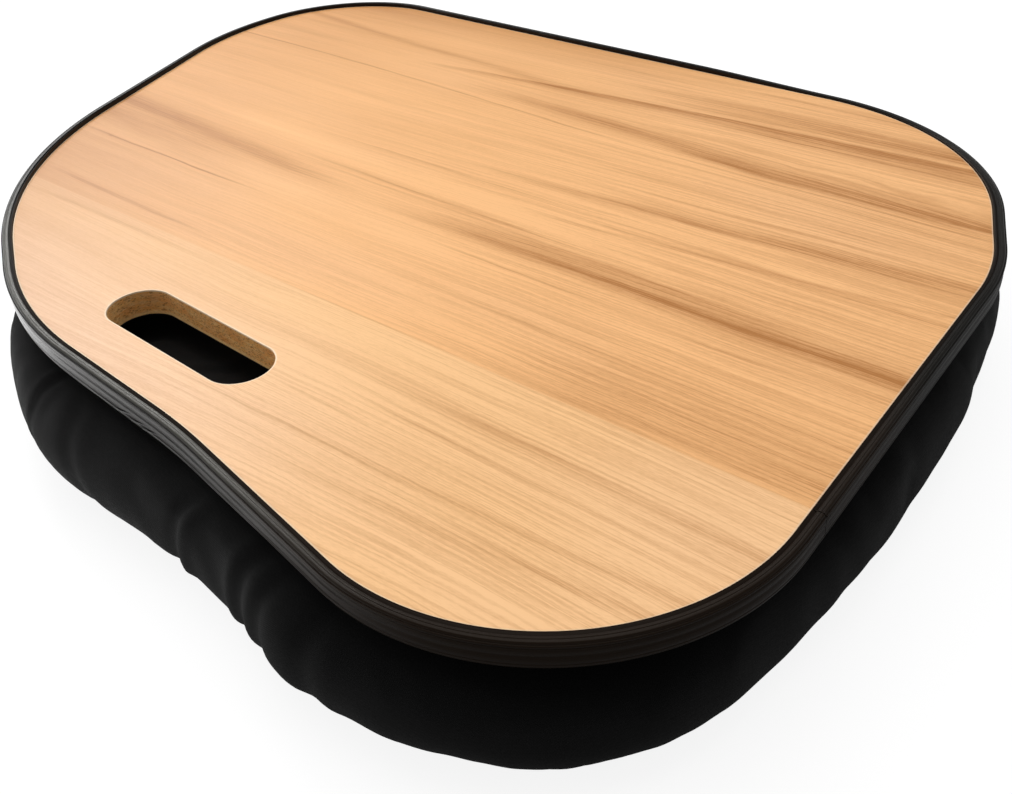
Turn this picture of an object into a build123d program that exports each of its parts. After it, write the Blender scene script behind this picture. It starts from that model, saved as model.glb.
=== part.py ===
"""Lap desk: a laminated board with a handle slot, held by hook-and-loop to a zipped cushion.

Millimetres, +Z up. X runs along the straight back edge and Y points to it. The origin is the
centre of the bounding box on the surface that the cushion rests on.
"""
import os

from build123d import *

# ---- overall -------------------------------------------------------------------------------
TOTAL_HEIGHT = 60.0          # floor to the working surface
LEVEL_TOLERANCE = 1e-4       # how far an edge may stray and still count as level

# Corners of the board's wood outline, anticlockwise from the back left: x, y, corner radius.
FRONT_RIGHT = (257.7, -197.3, 80.0)
RIGHT = (237.7, 66.5, 116.0)
BOARD_CORNERS = [
    (-246.5, 184.2, 69.0),
    (-251.5, 81.5, 146.0),
    (-165.0, -111.0, 223.0),
    (-34.5, -172.0, 197.0),
    (77.5, -174.6, 300.0),
    FRONT_RIGHT,
    RIGHT,
    (188.4, 184.2, 120.5),
]
# The cushion drops the hollow corner and swells past the others: x swell, y swell, radius.
CUSHION_CORNERS = [
    (-11.0, 6.8, 76.5),
    (-5.4, -7.0, 174.0),
    (-9.9, 3.0, 230.0),
    (-0.7, -16.9, 190.0),
    None,
    (4.6, -5.3, 99.0),
    (9.5, 8.1, 232.0),
    (-3.7, 6.8, 126.0),
]

# ---- board ---------------------------------------------------------------------------------
CORE_THICKNESS = 9.8         # particleboard
TOP_LAMINATE = 0.6
BACK_LAMINATE = 0.4
SLOT_LENGTH = 86.5           # handle slot, end to end
SLOT_WIDTH = 24.5
SLOT_X = 32.3
SLOT_Y = -142.2

# ---- edge band: a T section with two beads and a barbed tongue -----------------------------
BAND_PROUD = 0.5             # how far the band stands above the working surface
BAND_HEIGHT = 10.9
BAND_DEPTH = 4.8             # wood outline to the crest of the beads
BAND_WEB = 2.6               # thickness of the band behind the groove between the beads
UPPER_BEAD = 4.9             # height of the upper bead
BEAD_ROUND = 1.9             # rounding of both beads
FINE_LINE_Z = 2.3            # bottom of the band to the fine line in the lower bead
FINE_LINE = 0.35             # width and depth of that line
TONGUE_LENGTH = 8.0
TONGUE_THICKNESS = 1.6
TONGUE_END_GAP = 0.5
BARB_REACH = 0.3
BARB_WIDTH = 0.6
BARB_PITCH = 2.2
BARB_COUNT = 3
SEAM_GAP = 0.3               # butt joint where the band's ends meet
SEAM_FROM_CORNER = 99.5      # front right corner to the joint, along the right edge

# ---- hook-and-loop strips ------------------------------------------------------------------
STRIP_WIDTH = 25.0
HOOK_THICKNESS = 1.4
LOOP_THICKNESS = 1.2
STRIP_CORNER = 3.0
# centre x, centre y, length, turn about Z
STRIPS = {
    "back": (-20.0, 150.0, 240.0, 0.0),
    "front": (30.0, -96.0, 170.0, 0.0),
    "left": (-192.0, 40.0, 110.0, 109.0),
    "right": (200.0, -50.0, 130.0, 94.0),
}
STAPLE_CROWN = 10.0
STAPLE_WIRE = 0.6
STAPLE_LEG = 6.0
STAPLE_SUNK = 0.2            # crown below the face of the hooks
STAPLE_END = 14.0            # strip end to its outer staples
STAPLES_PER_STRIP = 3

# ---- cushion -------------------------------------------------------------------------------
COVER_THICKNESS = 1.0
UPPER_ROUND = 12.0           # rounding of the cushion's upper edge
LOWER_ROUND = 14.0
UPPER_SEAM = 4.0             # top of the cushion down to the upper seam
LOWER_SEAM = 5.0             # floor up to the lower seam
BINDING_CLEARANCE = 0.1      # cover to binding
BINDING_THICKNESS = 0.8
BINDING_HEIGHT = 6.0
LINER_THICKNESS = 0.5
LINER_CLEARANCE = 0.3        # binding to liner
LINER_SETTLE = 3.0           # extra rounding where the liner settles on the cover's floor
HOLLOW_MARGIN = 13.0         # finger hollow, past the handle slot all round
HOLLOW_DEPTH = 8.0
HOLLOW_ROUND = 4.0

# ---- zip in the back wall ------------------------------------------------------------------
ZIP_X = -36.0                # middle of the zip
ZIP_LENGTH = 252.0           # between the stops
ZIP_SLIT = 8.4               # height of the slit in the cover
TAPE_EDGE = 0.2              # edge of the tape to where the cover starts to round
TAPE_THICKNESS = 0.5
TAPE_GAP = 1.4               # between the two tapes
TOOTH_PITCH = 4.0
TOOTH_LENGTH = 1.7           # along the zip
TOOTH_HEIGHT = 3.6
TOOTH_DEPTH = 1.6
TOOTH_OVERLAP = 1.2          # how far a tooth passes the middle of the zip
STOP_LENGTH = 3.0
STOP_HEIGHT = 5.6
SLIDER_LENGTH = 11.0
SLIDER_PLATE = 1.2
SLIDER_CLEARANCE = 0.2
SLIDER_CORNER = 1.5
FLANGE_THICKNESS = 0.8
BRIDGE_LENGTH = 7.0
BRIDGE_WIDTH = 2.2
BRIDGE_RISE = 2.2            # clear height of the tunnel under the bridge
BRIDGE_THICKNESS = 1.0
PIN_RADIUS = 0.7
EYE_LENGTH = 4.4             # middle of the pin to the far side of the puller's eye
EYE_CLEARANCE = 0.35
PULLER_WIRE = 1.4
PULLER_THICKNESS = 1.2
TAB_LENGTH = 18.0
TAB_WIDTH = 7.0
TAB_CORNER = 2.0
TAB_HOLE_RADIUS = 1.5

# ---- heights and places worked out from the sizes above ------------------------------------
CORE_TOP = TOTAL_HEIGHT - TOP_LAMINATE
CORE_BOTTOM = CORE_TOP - CORE_THICKNESS
BOARD_BOTTOM = CORE_BOTTOM - BACK_LAMINATE
HOOK_BOTTOM = BOARD_BOTTOM - HOOK_THICKNESS
CUSHION_TOP = HOOK_BOTTOM - LOOP_THICKNESS
BAND_TOP = TOTAL_HEIGHT + BAND_PROUD
BAND_BOTTOM = BAND_TOP - BAND_HEIGHT
BEAD_JOIN = BAND_TOP - UPPER_BEAD
TONGUE_Z = (CORE_TOP + CORE_BOTTOM) / 2
CUSHION_OUTLINE = [
    (x + swell[0], y + swell[1], swell[2])
    for (x, y, _), swell in zip(BOARD_CORNERS, CUSHION_CORNERS)
    if swell
]
BINDING_INSET = COVER_THICKNESS + BINDING_CLEARANCE
LINER_INSET = BINDING_INSET + BINDING_THICKNESS + LINER_CLEARANCE
FILLING_INSET = LINER_INSET + LINER_THICKNESS
UPPER_SEAM_Z = CUSHION_TOP - UPPER_SEAM
HOLLOW_FLOOR = CUSHION_TOP - HOLLOW_DEPTH
FLAT_WALL = CUSHION_TOP - UPPER_ROUND - LOWER_ROUND
ZIP_Z = LOWER_ROUND + FLAT_WALL / 2
TAPE_WIDTH = (FLAT_WALL - TAPE_GAP) / 2 - TAPE_EDGE
BACK_Y = CUSHION_OUTLINE[0][1]
TAPE_FACE = BACK_Y - COVER_THICKNESS
TOOTH_FACE = TAPE_FACE + TOOTH_DEPTH
TOOTH_REACH = TOOTH_HEIGHT - TOOTH_OVERLAP
PLATE_BACK = TOOTH_FACE + SLIDER_CLEARANCE
PLATE_FACE = PLATE_BACK + SLIDER_PLATE
FLANGE_Z = TOOTH_REACH + SLIDER_CLEARANCE
SLIDER_X = ZIP_X + ZIP_LENGTH / 2 - SLIDER_CLEARANCE - SLIDER_LENGTH / 2
PIN_Y = PLATE_FACE + BRIDGE_RISE / 2
PULLER_HALF = BRIDGE_WIDTH / 2 + EYE_CLEARANCE + PULLER_WIRE
ZIP_TRAVEL = ZIP_LENGTH - SLIDER_LENGTH - 2 * SLIDER_CLEARANCE


def outline(corners, grow=0.0):
    """Face inside straight runs and tangent arcs, with every run moved outwards by grow."""
    points = []
    radii = []
    for index, (x, y, radius) in enumerate(corners):
        here = Vector(x, y)
        before = Vector(*corners[index - 1][:2])
        after = Vector(*corners[(index + 1) % len(corners)][:2])
        arriving = (here - before).normalized()
        leaving = (after - here).normalized()
        side_in = Vector(arriving.Y, -arriving.X)
        side_out = Vector(leaving.Y, -leaving.X)
        points.append(here + (side_in + side_out) * (grow / (1 + side_in.dot(side_out))))
        convex = arriving.cross(leaving).Z > 0
        radii.append(radius + grow if convex else radius - grow)
    return make_face(FilletPolyline(*points, radius=radii, close=True))


def slab(face, bottom, top):
    """Extrude a face drawn on the XY plane between two heights."""
    return extrude(Pos(0, 0, bottom) * face, top - bottom)


def box(x_range, y_range, z_range):
    """Box between two limits along each axis."""
    spans = (x_range, y_range, z_range)
    middle = [sum(span) / 2 for span in spans]
    return Pos(*middle) * Box(*[high - low for low, high in spans])


def rim(body, height, radius):
    """Round the horizontal edges of a body that lie at one height."""
    edges = [edge for edge in body.edges() if edge.bounding_box().size.Z < LEVEL_TOLERANCE]
    level = [edge for edge in edges if abs(edge.center().Z - height) < LEVEL_TOLERANCE]
    return fillet(level, radius)


# ---- board ---------------------------------------------------------------------------------
def slot_face(grow=0.0):
    """The handle slot's stadium, grown all round."""
    return Pos(SLOT_X, SLOT_Y) * SlotOverall(SLOT_LENGTH + 2 * grow, SLOT_WIDTH + 2 * grow)


def board_layer(bottom, top):
    """One layer of the board with the handle slot through it."""
    return slab(outline(BOARD_CORNERS), bottom, top) - slab(slot_face(), bottom, top)


def edge_ring(inner, outer, bottom, top):
    """Ring that follows the wood outline between two offsets and two heights."""
    return slab(outline(BOARD_CORNERS, outer), bottom, top) - slab(
        outline(BOARD_CORNERS, inner), bottom, top
    )


def tongue_groove():
    """Groove round the core that takes the tongue and its barbs."""
    half = TONGUE_THICKNESS / 2 + BARB_REACH
    depth = TONGUE_LENGTH + TONGUE_END_GAP
    return edge_ring(-depth, 0.0, TONGUE_Z - half, TONGUE_Z + half)


def bead(bottom, top):
    """One rounded bead of the band, solid back to the wood outline."""
    layer = slab(outline(BOARD_CORNERS, BAND_DEPTH), bottom, top)
    layer = rim(layer, top, BEAD_ROUND)
    layer = rim(layer, bottom, BEAD_ROUND)
    return layer - slab(outline(BOARD_CORNERS), bottom, top)


def edge_band():
    """Two beads on a web, with a barbed tongue in the core and one butt joint."""
    band = bead(BEAD_JOIN, BAND_TOP) + bead(BAND_BOTTOM, BEAD_JOIN)
    band += edge_ring(0.0, BAND_WEB, BEAD_JOIN - BEAD_ROUND, BEAD_JOIN + BEAD_ROUND)
    line_bottom = BAND_BOTTOM + FINE_LINE_Z
    line_top = line_bottom + FINE_LINE
    band -= edge_ring(BAND_DEPTH - FINE_LINE, BAND_DEPTH + FINE_LINE, line_bottom, line_top)
    half = TONGUE_THICKNESS / 2
    band += edge_ring(-TONGUE_LENGTH, 0.0, TONGUE_Z - half, TONGUE_Z + half)
    for index in range(BARB_COUNT):
        inner = index * BARB_PITCH - TONGUE_LENGTH
        reach = half + BARB_REACH
        band += edge_ring(inner, inner + BARB_WIDTH, TONGUE_Z - reach, TONGUE_Z + reach)
    corner = Vector(*FRONT_RIGHT[:2])
    along = (Vector(*RIGHT[:2]) - corner).normalized()
    place = corner + along * SEAM_FROM_CORNER
    width = 2 * (BAND_DEPTH + TONGUE_LENGTH + TONGUE_END_GAP)
    cut = Box(SEAM_GAP, width, 2 * BAND_HEIGHT)
    turn = Vector(1, 0, 0).get_signed_angle(along, Vector(0, 0, 1))
    return band - Pos(place.X, place.Y, TONGUE_Z) * Rot(0, 0, turn) * cut


# ---- hook-and-loop strips ------------------------------------------------------------------
def strip(name, bottom, top):
    """One rounded strip at its place on the board or the cushion."""
    x, y, length, turn = STRIPS[name]
    face = RectangleRounded(length, STRIP_WIDTH, STRIP_CORNER)
    return slab(Pos(x, y) * Rot(0, 0, turn) * face, bottom, top)


def staple_places(name):
    """Places of a strip's staples, evenly spaced along it."""
    x, y, length, turn = STRIPS[name]
    step = (length - 2 * STAPLE_END) / (STAPLES_PER_STRIP - 1)
    offsets = [STAPLE_END - length / 2 + index * step for index in range(STAPLES_PER_STRIP)]
    return [Pos(x, y) * Rot(0, 0, turn) * Pos(offset, 0) for offset in offsets]


def staple(place, crown_bottom):
    """Staple whose crown lies across the strip and whose legs go up into the core."""
    half = STAPLE_CROWN / 2
    wire = (-STAPLE_WIRE / 2, STAPLE_WIRE / 2)
    crown_top = HOOK_BOTTOM + STAPLE_SUNK + STAPLE_WIRE
    leg_top = HOOK_BOTTOM + STAPLE_SUNK + STAPLE_LEG
    shape = box(wire, (-half, half), (crown_bottom, crown_top))
    shape += box(wire, (half - STAPLE_WIRE, half), (crown_bottom, leg_top))
    shape += box(wire, (-half, STAPLE_WIRE - half), (crown_bottom, leg_top))
    return place * shape


def staples(crown_bottom):
    """All the staples, with their crowns starting at one height."""
    return [staple(place, crown_bottom) for name in STRIPS for place in staple_places(name)]


# ---- cushion -------------------------------------------------------------------------------
def cushion_form(inset, floor, settle=0.0):
    """Rounded cushion with its finger hollow, its sides and top moved inwards by inset."""
    top = CUSHION_TOP - inset
    body = slab(outline(CUSHION_OUTLINE, -inset), floor, top)
    body = rim(body, top, UPPER_ROUND - inset)
    body = rim(body, floor, LOWER_ROUND - inset + settle)
    hollow = slab(slot_face(HOLLOW_MARGIN + inset), HOLLOW_FLOOR - inset, CUSHION_TOP)
    return body - rim(hollow, HOLLOW_FLOOR - inset, HOLLOW_ROUND + inset)


def cushion_layer(inset, thickness):
    """Closed skin of one thickness whose outer face lies inset from the cushion's."""
    return cushion_form(inset, inset) - cushion_form(inset + thickness, inset + thickness)


def between(bottom, top):
    """Slab that spans the whole cushion, without the walls of the finger hollow."""
    level = slab(outline(CUSHION_OUTLINE, COVER_THICKNESS), bottom, top)
    column = slot_face(HOLLOW_MARGIN + LINER_INSET)
    return level - slab(column, HOLLOW_FLOOR - LINER_INSET, CUSHION_TOP)


def seam_binding(bottom):
    """Tape inside the cover that binds a seam's raw edges."""
    layer = cushion_layer(BINDING_INSET, BINDING_THICKNESS)
    return layer & between(bottom, bottom + BINDING_HEIGHT)


def zip_slit():
    """Slit in the cover's back wall for the teeth, the stops and the slider."""
    half = ZIP_LENGTH / 2 + STOP_LENGTH + SLIDER_CLEARANCE
    reach = 2 * COVER_THICKNESS
    z_range = (ZIP_Z - ZIP_SLIT / 2, ZIP_Z + ZIP_SLIT / 2)
    return box((ZIP_X - half, ZIP_X + half), (BACK_Y - reach, BACK_Y + reach), z_range)


# ---- zip -----------------------------------------------------------------------------------
def zip_tape(side):
    """Tape behind the cover, above (1) or below (-1) the middle of the zip."""
    half = ZIP_LENGTH / 2 + 2 * STOP_LENGTH
    near = ZIP_Z + side * TAPE_GAP / 2
    far = near + side * TAPE_WIDTH
    y_range = (TAPE_FACE - TAPE_THICKNESS, TAPE_FACE)
    return box((ZIP_X - half, ZIP_X + half), y_range, sorted((near, far)))


def zip_teeth(side):
    """Row of teeth on one tape, each reaching past the middle of the zip."""
    count = int(ZIP_LENGTH / TOOTH_PITCH)
    start = ZIP_X - ZIP_LENGTH / 2 + TOOTH_LENGTH / 2
    shift = 0.0 if side > 0 else TOOTH_PITCH / 2
    inner = ZIP_Z - side * TOOTH_OVERLAP
    outer = ZIP_Z + side * TOOTH_REACH
    teeth = []
    for index in range(count):
        x = start + index * TOOTH_PITCH + shift
        x_range = (x - TOOTH_LENGTH / 2, x + TOOTH_LENGTH / 2)
        teeth.append(box(x_range, (TAPE_FACE, TOOTH_FACE), sorted((inner, outer))))
    return teeth


def zip_stops():
    """Metal stops at the two ends of the zip."""
    stops = []
    for side in (-1, 1):
        near = ZIP_X + side * ZIP_LENGTH / 2
        x_range = sorted((near, near + side * STOP_LENGTH))
        z_range = (ZIP_Z - STOP_HEIGHT / 2, ZIP_Z + STOP_HEIGHT / 2)
        stops.append(box(x_range, (TAPE_FACE, TOOTH_FACE), z_range))
    return stops


def zip_slider():
    """Slider's outer plate with its two flanges and the bridge for the puller."""
    outer = FLANGE_Z + FLANGE_THICKNESS
    x_range = (SLIDER_X - SLIDER_LENGTH / 2, SLIDER_X + SLIDER_LENGTH / 2)
    body = box(x_range, (PLATE_BACK, PLATE_FACE), (ZIP_Z - outer, ZIP_Z + outer))
    body = fillet(body.edges().filter_by(Axis.Y), SLIDER_CORNER)
    flange_x = (x_range[0] + SLIDER_CORNER, x_range[1] - SLIDER_CORNER)
    for side in (-1, 1):
        z_range = sorted((ZIP_Z + side * FLANGE_Z, ZIP_Z + side * outer))
        body += box(flange_x, (TAPE_FACE + SLIDER_CLEARANCE, PLATE_BACK), z_range)
    crown = PLATE_FACE + BRIDGE_RISE
    half_width = BRIDGE_WIDTH / 2
    bridge_x = (SLIDER_X - BRIDGE_LENGTH / 2, SLIDER_X + BRIDGE_LENGTH / 2)
    bridge_z = (ZIP_Z - half_width, ZIP_Z + half_width)
    body += box(bridge_x, (PLATE_FACE, crown + BRIDGE_THICKNESS), bridge_z)
    tunnel_x = (bridge_x[0] + BRIDGE_THICKNESS, bridge_x[1] - BRIDGE_THICKNESS)
    return body - box(tunnel_x, (PLATE_FACE, crown), bridge_z)


def zip_puller():
    """Puller whose pin lies in the slider's tunnel, with an eye round the bridge and a tab."""
    y_range = (PIN_Y - PULLER_THICKNESS / 2, PIN_Y + PULLER_THICKNESS / 2)
    eye_end = SLIDER_X - EYE_LENGTH
    frame_end = eye_end - PULLER_WIRE
    inner = PULLER_HALF - PULLER_WIRE
    frame = box((frame_end, SLIDER_X), y_range, (ZIP_Z - PULLER_HALF, ZIP_Z + PULLER_HALF))
    frame -= box((eye_end, SLIDER_X), y_range, (ZIP_Z - inner, ZIP_Z + inner))
    tab_x = (frame_end - TAB_LENGTH, frame_end)
    tab = box(tab_x, y_range, (ZIP_Z - TAB_WIDTH / 2, ZIP_Z + TAB_WIDTH / 2))
    tab = fillet(tab.edges().filter_by(Axis.Y), TAB_CORNER)
    hole_x = tab_x[0] + TAB_WIDTH / 2
    hole = Rot(90, 0, 0) * Cylinder(TAB_HOLE_RADIUS, 2 * PULLER_THICKNESS)
    tab -= Pos(hole_x, PIN_Y, ZIP_Z) * hole
    pin = Pos(SLIDER_X, PIN_Y, ZIP_Z) * Cylinder(PIN_RADIUS, 2 * PULLER_HALF)
    return frame + tab + pin


# ---- assembly ------------------------------------------------------------------------------
def build():
    """Every node's shape, still in the outline's own frame."""
    core = board_layer(CORE_BOTTOM, CORE_TOP) - tongue_groove()
    back_laminate = board_layer(BOARD_BOTTOM, CORE_BOTTOM)
    fixings = staples(HOOK_BOTTOM + STAPLE_SUNK)
    cuts = staples(HOOK_BOTTOM)
    for cut in cuts:
        core -= cut
        back_laminate -= cut
    nodes = {
        "board_core": core,
        "top_laminate": board_layer(CORE_TOP, TOTAL_HEIGHT),
        "back_laminate": back_laminate,
        "edge_band": edge_band(),
        "strip_staples": Compound(fixings),
    }
    for name in STRIPS:
        hook = strip(name, HOOK_BOTTOM, BOARD_BOTTOM)
        for cut in cuts:
            hook -= cut
        nodes["hook_strip_" + name] = hook
        nodes["loop_strip_" + name] = strip(name, CUSHION_TOP, HOOK_BOTTOM)
    skin = cushion_layer(0.0, COVER_THICKNESS)
    side = skin & between(LOWER_SEAM, UPPER_SEAM_Z)
    bottom = skin & between(0.0, LOWER_SEAM)
    nodes["cover_bottom"] = bottom
    nodes["cover_side"] = side - zip_slit()
    nodes["cover_top"] = skin - side - bottom
    nodes["upper_seam_binding"] = seam_binding(UPPER_SEAM_Z - BINDING_HEIGHT)
    nodes["lower_seam_binding"] = seam_binding(LOWER_SEAM)
    filling = cushion_form(FILLING_INSET, COVER_THICKNESS + LINER_THICKNESS, LINER_SETTLE)
    nodes["liner_bag"] = cushion_form(LINER_INSET, COVER_THICKNESS, LINER_SETTLE) - filling
    nodes["bead_filling"] = filling
    nodes["zip_tape_upper"] = zip_tape(1)
    nodes["zip_tape_lower"] = zip_tape(-1)
    nodes["zip_teeth_upper"] = Compound(zip_teeth(1))
    nodes["zip_teeth_lower"] = Compound(zip_teeth(-1))
    nodes["zip_stops"] = Compound(zip_stops())
    nodes["zip_slider"] = zip_slider()
    nodes["zip_puller"] = zip_puller()
    return nodes


def main():
    """Centre the assembly on its bounding box and write one file per node."""
    nodes = build()
    boxes = [shape.bounding_box() for shape in nodes.values()]
    middle_x = (min(b.min.X for b in boxes) + max(b.max.X for b in boxes)) / 2
    middle_y = (min(b.min.Y for b in boxes) + max(b.max.Y for b in boxes)) / 2
    os.makedirs("parts", exist_ok=True)
    for name, shape in nodes.items():
        export_step(Pos(-middle_x, -middle_y, 0) * shape, "parts/" + name + ".step")
    print("shift", -middle_x, -middle_y)
    print("zip slider", SLIDER_X - middle_x, PIN_Y - middle_y, ZIP_Z, "travel", ZIP_TRAVEL)


main()
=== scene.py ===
"""Lap desk: a wood-effect board with a black edge band on a soft black cushion.

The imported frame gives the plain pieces, their bodies and their places. This script dresses them
and makes finer ones: the printed laminate, the ribbed band, the raw slot wall, the inflated cover
with its folds and zip, and the studio.
Lengths are millimetres in the classes and metres in the scene.
"""

import logging
import math
from collections.abc import Callable
from dataclasses import dataclass, field
from enum import Enum

import bmesh
import bpy
from mathutils import Matrix, Vector, noise
from mathutils.kdtree import KDTree


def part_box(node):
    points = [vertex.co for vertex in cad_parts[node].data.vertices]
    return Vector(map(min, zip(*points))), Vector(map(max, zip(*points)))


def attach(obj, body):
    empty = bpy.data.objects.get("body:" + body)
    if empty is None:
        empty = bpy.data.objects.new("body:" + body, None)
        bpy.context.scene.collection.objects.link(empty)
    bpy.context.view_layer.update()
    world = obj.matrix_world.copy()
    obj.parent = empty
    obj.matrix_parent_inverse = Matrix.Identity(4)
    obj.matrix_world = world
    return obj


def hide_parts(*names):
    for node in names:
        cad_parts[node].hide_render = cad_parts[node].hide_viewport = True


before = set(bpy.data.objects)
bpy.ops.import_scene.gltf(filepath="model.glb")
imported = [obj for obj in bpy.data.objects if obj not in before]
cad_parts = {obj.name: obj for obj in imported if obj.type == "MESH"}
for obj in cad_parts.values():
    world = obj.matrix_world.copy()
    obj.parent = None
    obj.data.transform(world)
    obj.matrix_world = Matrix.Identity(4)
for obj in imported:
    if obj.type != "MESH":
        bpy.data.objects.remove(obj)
log = logging.getLogger("lap_desk")

MM = 0.001
Colour = tuple[float, float, float]
Point = tuple[float, float]
Place = tuple[float, float, float]


class Body(Enum):
    """Moving bodies that new pieces ride on."""

    CUSHION = "cushion"
    BOARD = "board"


def srgb(red: int, green: int, blue: int) -> Colour:
    """Turn a screen colour into the linear one that a shader takes.

    Args:
        red: Red, 0 to 255.
        green: Green, 0 to 255.
        blue: Blue, 0 to 255.

    Returns:
        The linear colour.
    """
    def linear(level: int) -> float:
        share = level / 255
        return share / 12.92 if share <= 0.04045 else ((share + 0.055) / 1.055) ** 2.4

    return linear(red), linear(green), linear(blue)


def clamp(value: float) -> float:
    """Hold a value between nought and one."""
    return min(1.0, max(0.0, value))


def eased(share: float) -> float:
    """Round off both ends of a share that rises from nought to one."""
    return share * share * (3 - 2 * share)


# ---- shader maths --------------------------------------------------------------------------
def operator(operation: str, swapped: bool = False) -> Callable[..., "Term"]:
    """Make a method that adds one Math node to a term.

    Args:
        operation: The node's operation.
        swapped: Whether the term goes last, as with a number on its left.

    Returns:
        The method.
    """
    def method(term: "Term", *others: "Term | float") -> "Term":
        """Add the node and wrap its result."""
        values = (*others, term) if swapped else (term, *others)
        sockets = dict(enumerate(values))
        return term.graph.value("ShaderNodeMath", {"operation": operation}, sockets)

    return method


class Term:
    """A value in a shader, on which arithmetic adds Math nodes."""

    def __init__(self, graph: "Graph", socket: bpy.types.NodeSocket) -> None:
        """Wrap one output socket."""
        self.graph = graph
        self.socket = socket

    __add__, __radd__ = operator("ADD"), operator("ADD", swapped=True)
    __sub__, __rsub__ = operator("SUBTRACT"), operator("SUBTRACT", swapped=True)
    __mul__, __rmul__ = operator("MULTIPLY"), operator("MULTIPLY", swapped=True)
    __truediv__, __pow__ = operator("DIVIDE"), operator("POWER")
    __abs__ = operator("ABSOLUTE")
    least, most = operator("MINIMUM"), operator("MAXIMUM")
    wave, exponential = operator("SINE"), operator("EXPONENT")

    def bell(self) -> "Term":
        """Bell curve that is one at zero and falls off by one unit either way."""
        return (self * self * -1.0).exponential()

    def ramp(self, low: float, high: float) -> "Term":
        """Rise smoothly from nought at low to one at high.

        Args:
            low: Where the rise starts.
            high: Where it ends, which may be below low for a fall.

        Returns:
            The eased share.
        """
        settings = {"interpolation_type": "SMOOTHSTEP"}
        sockets = {"Value": self, "From Min": low, "From Max": high}
        return self.graph.value("ShaderNodeMapRange", settings, sockets)


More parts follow.
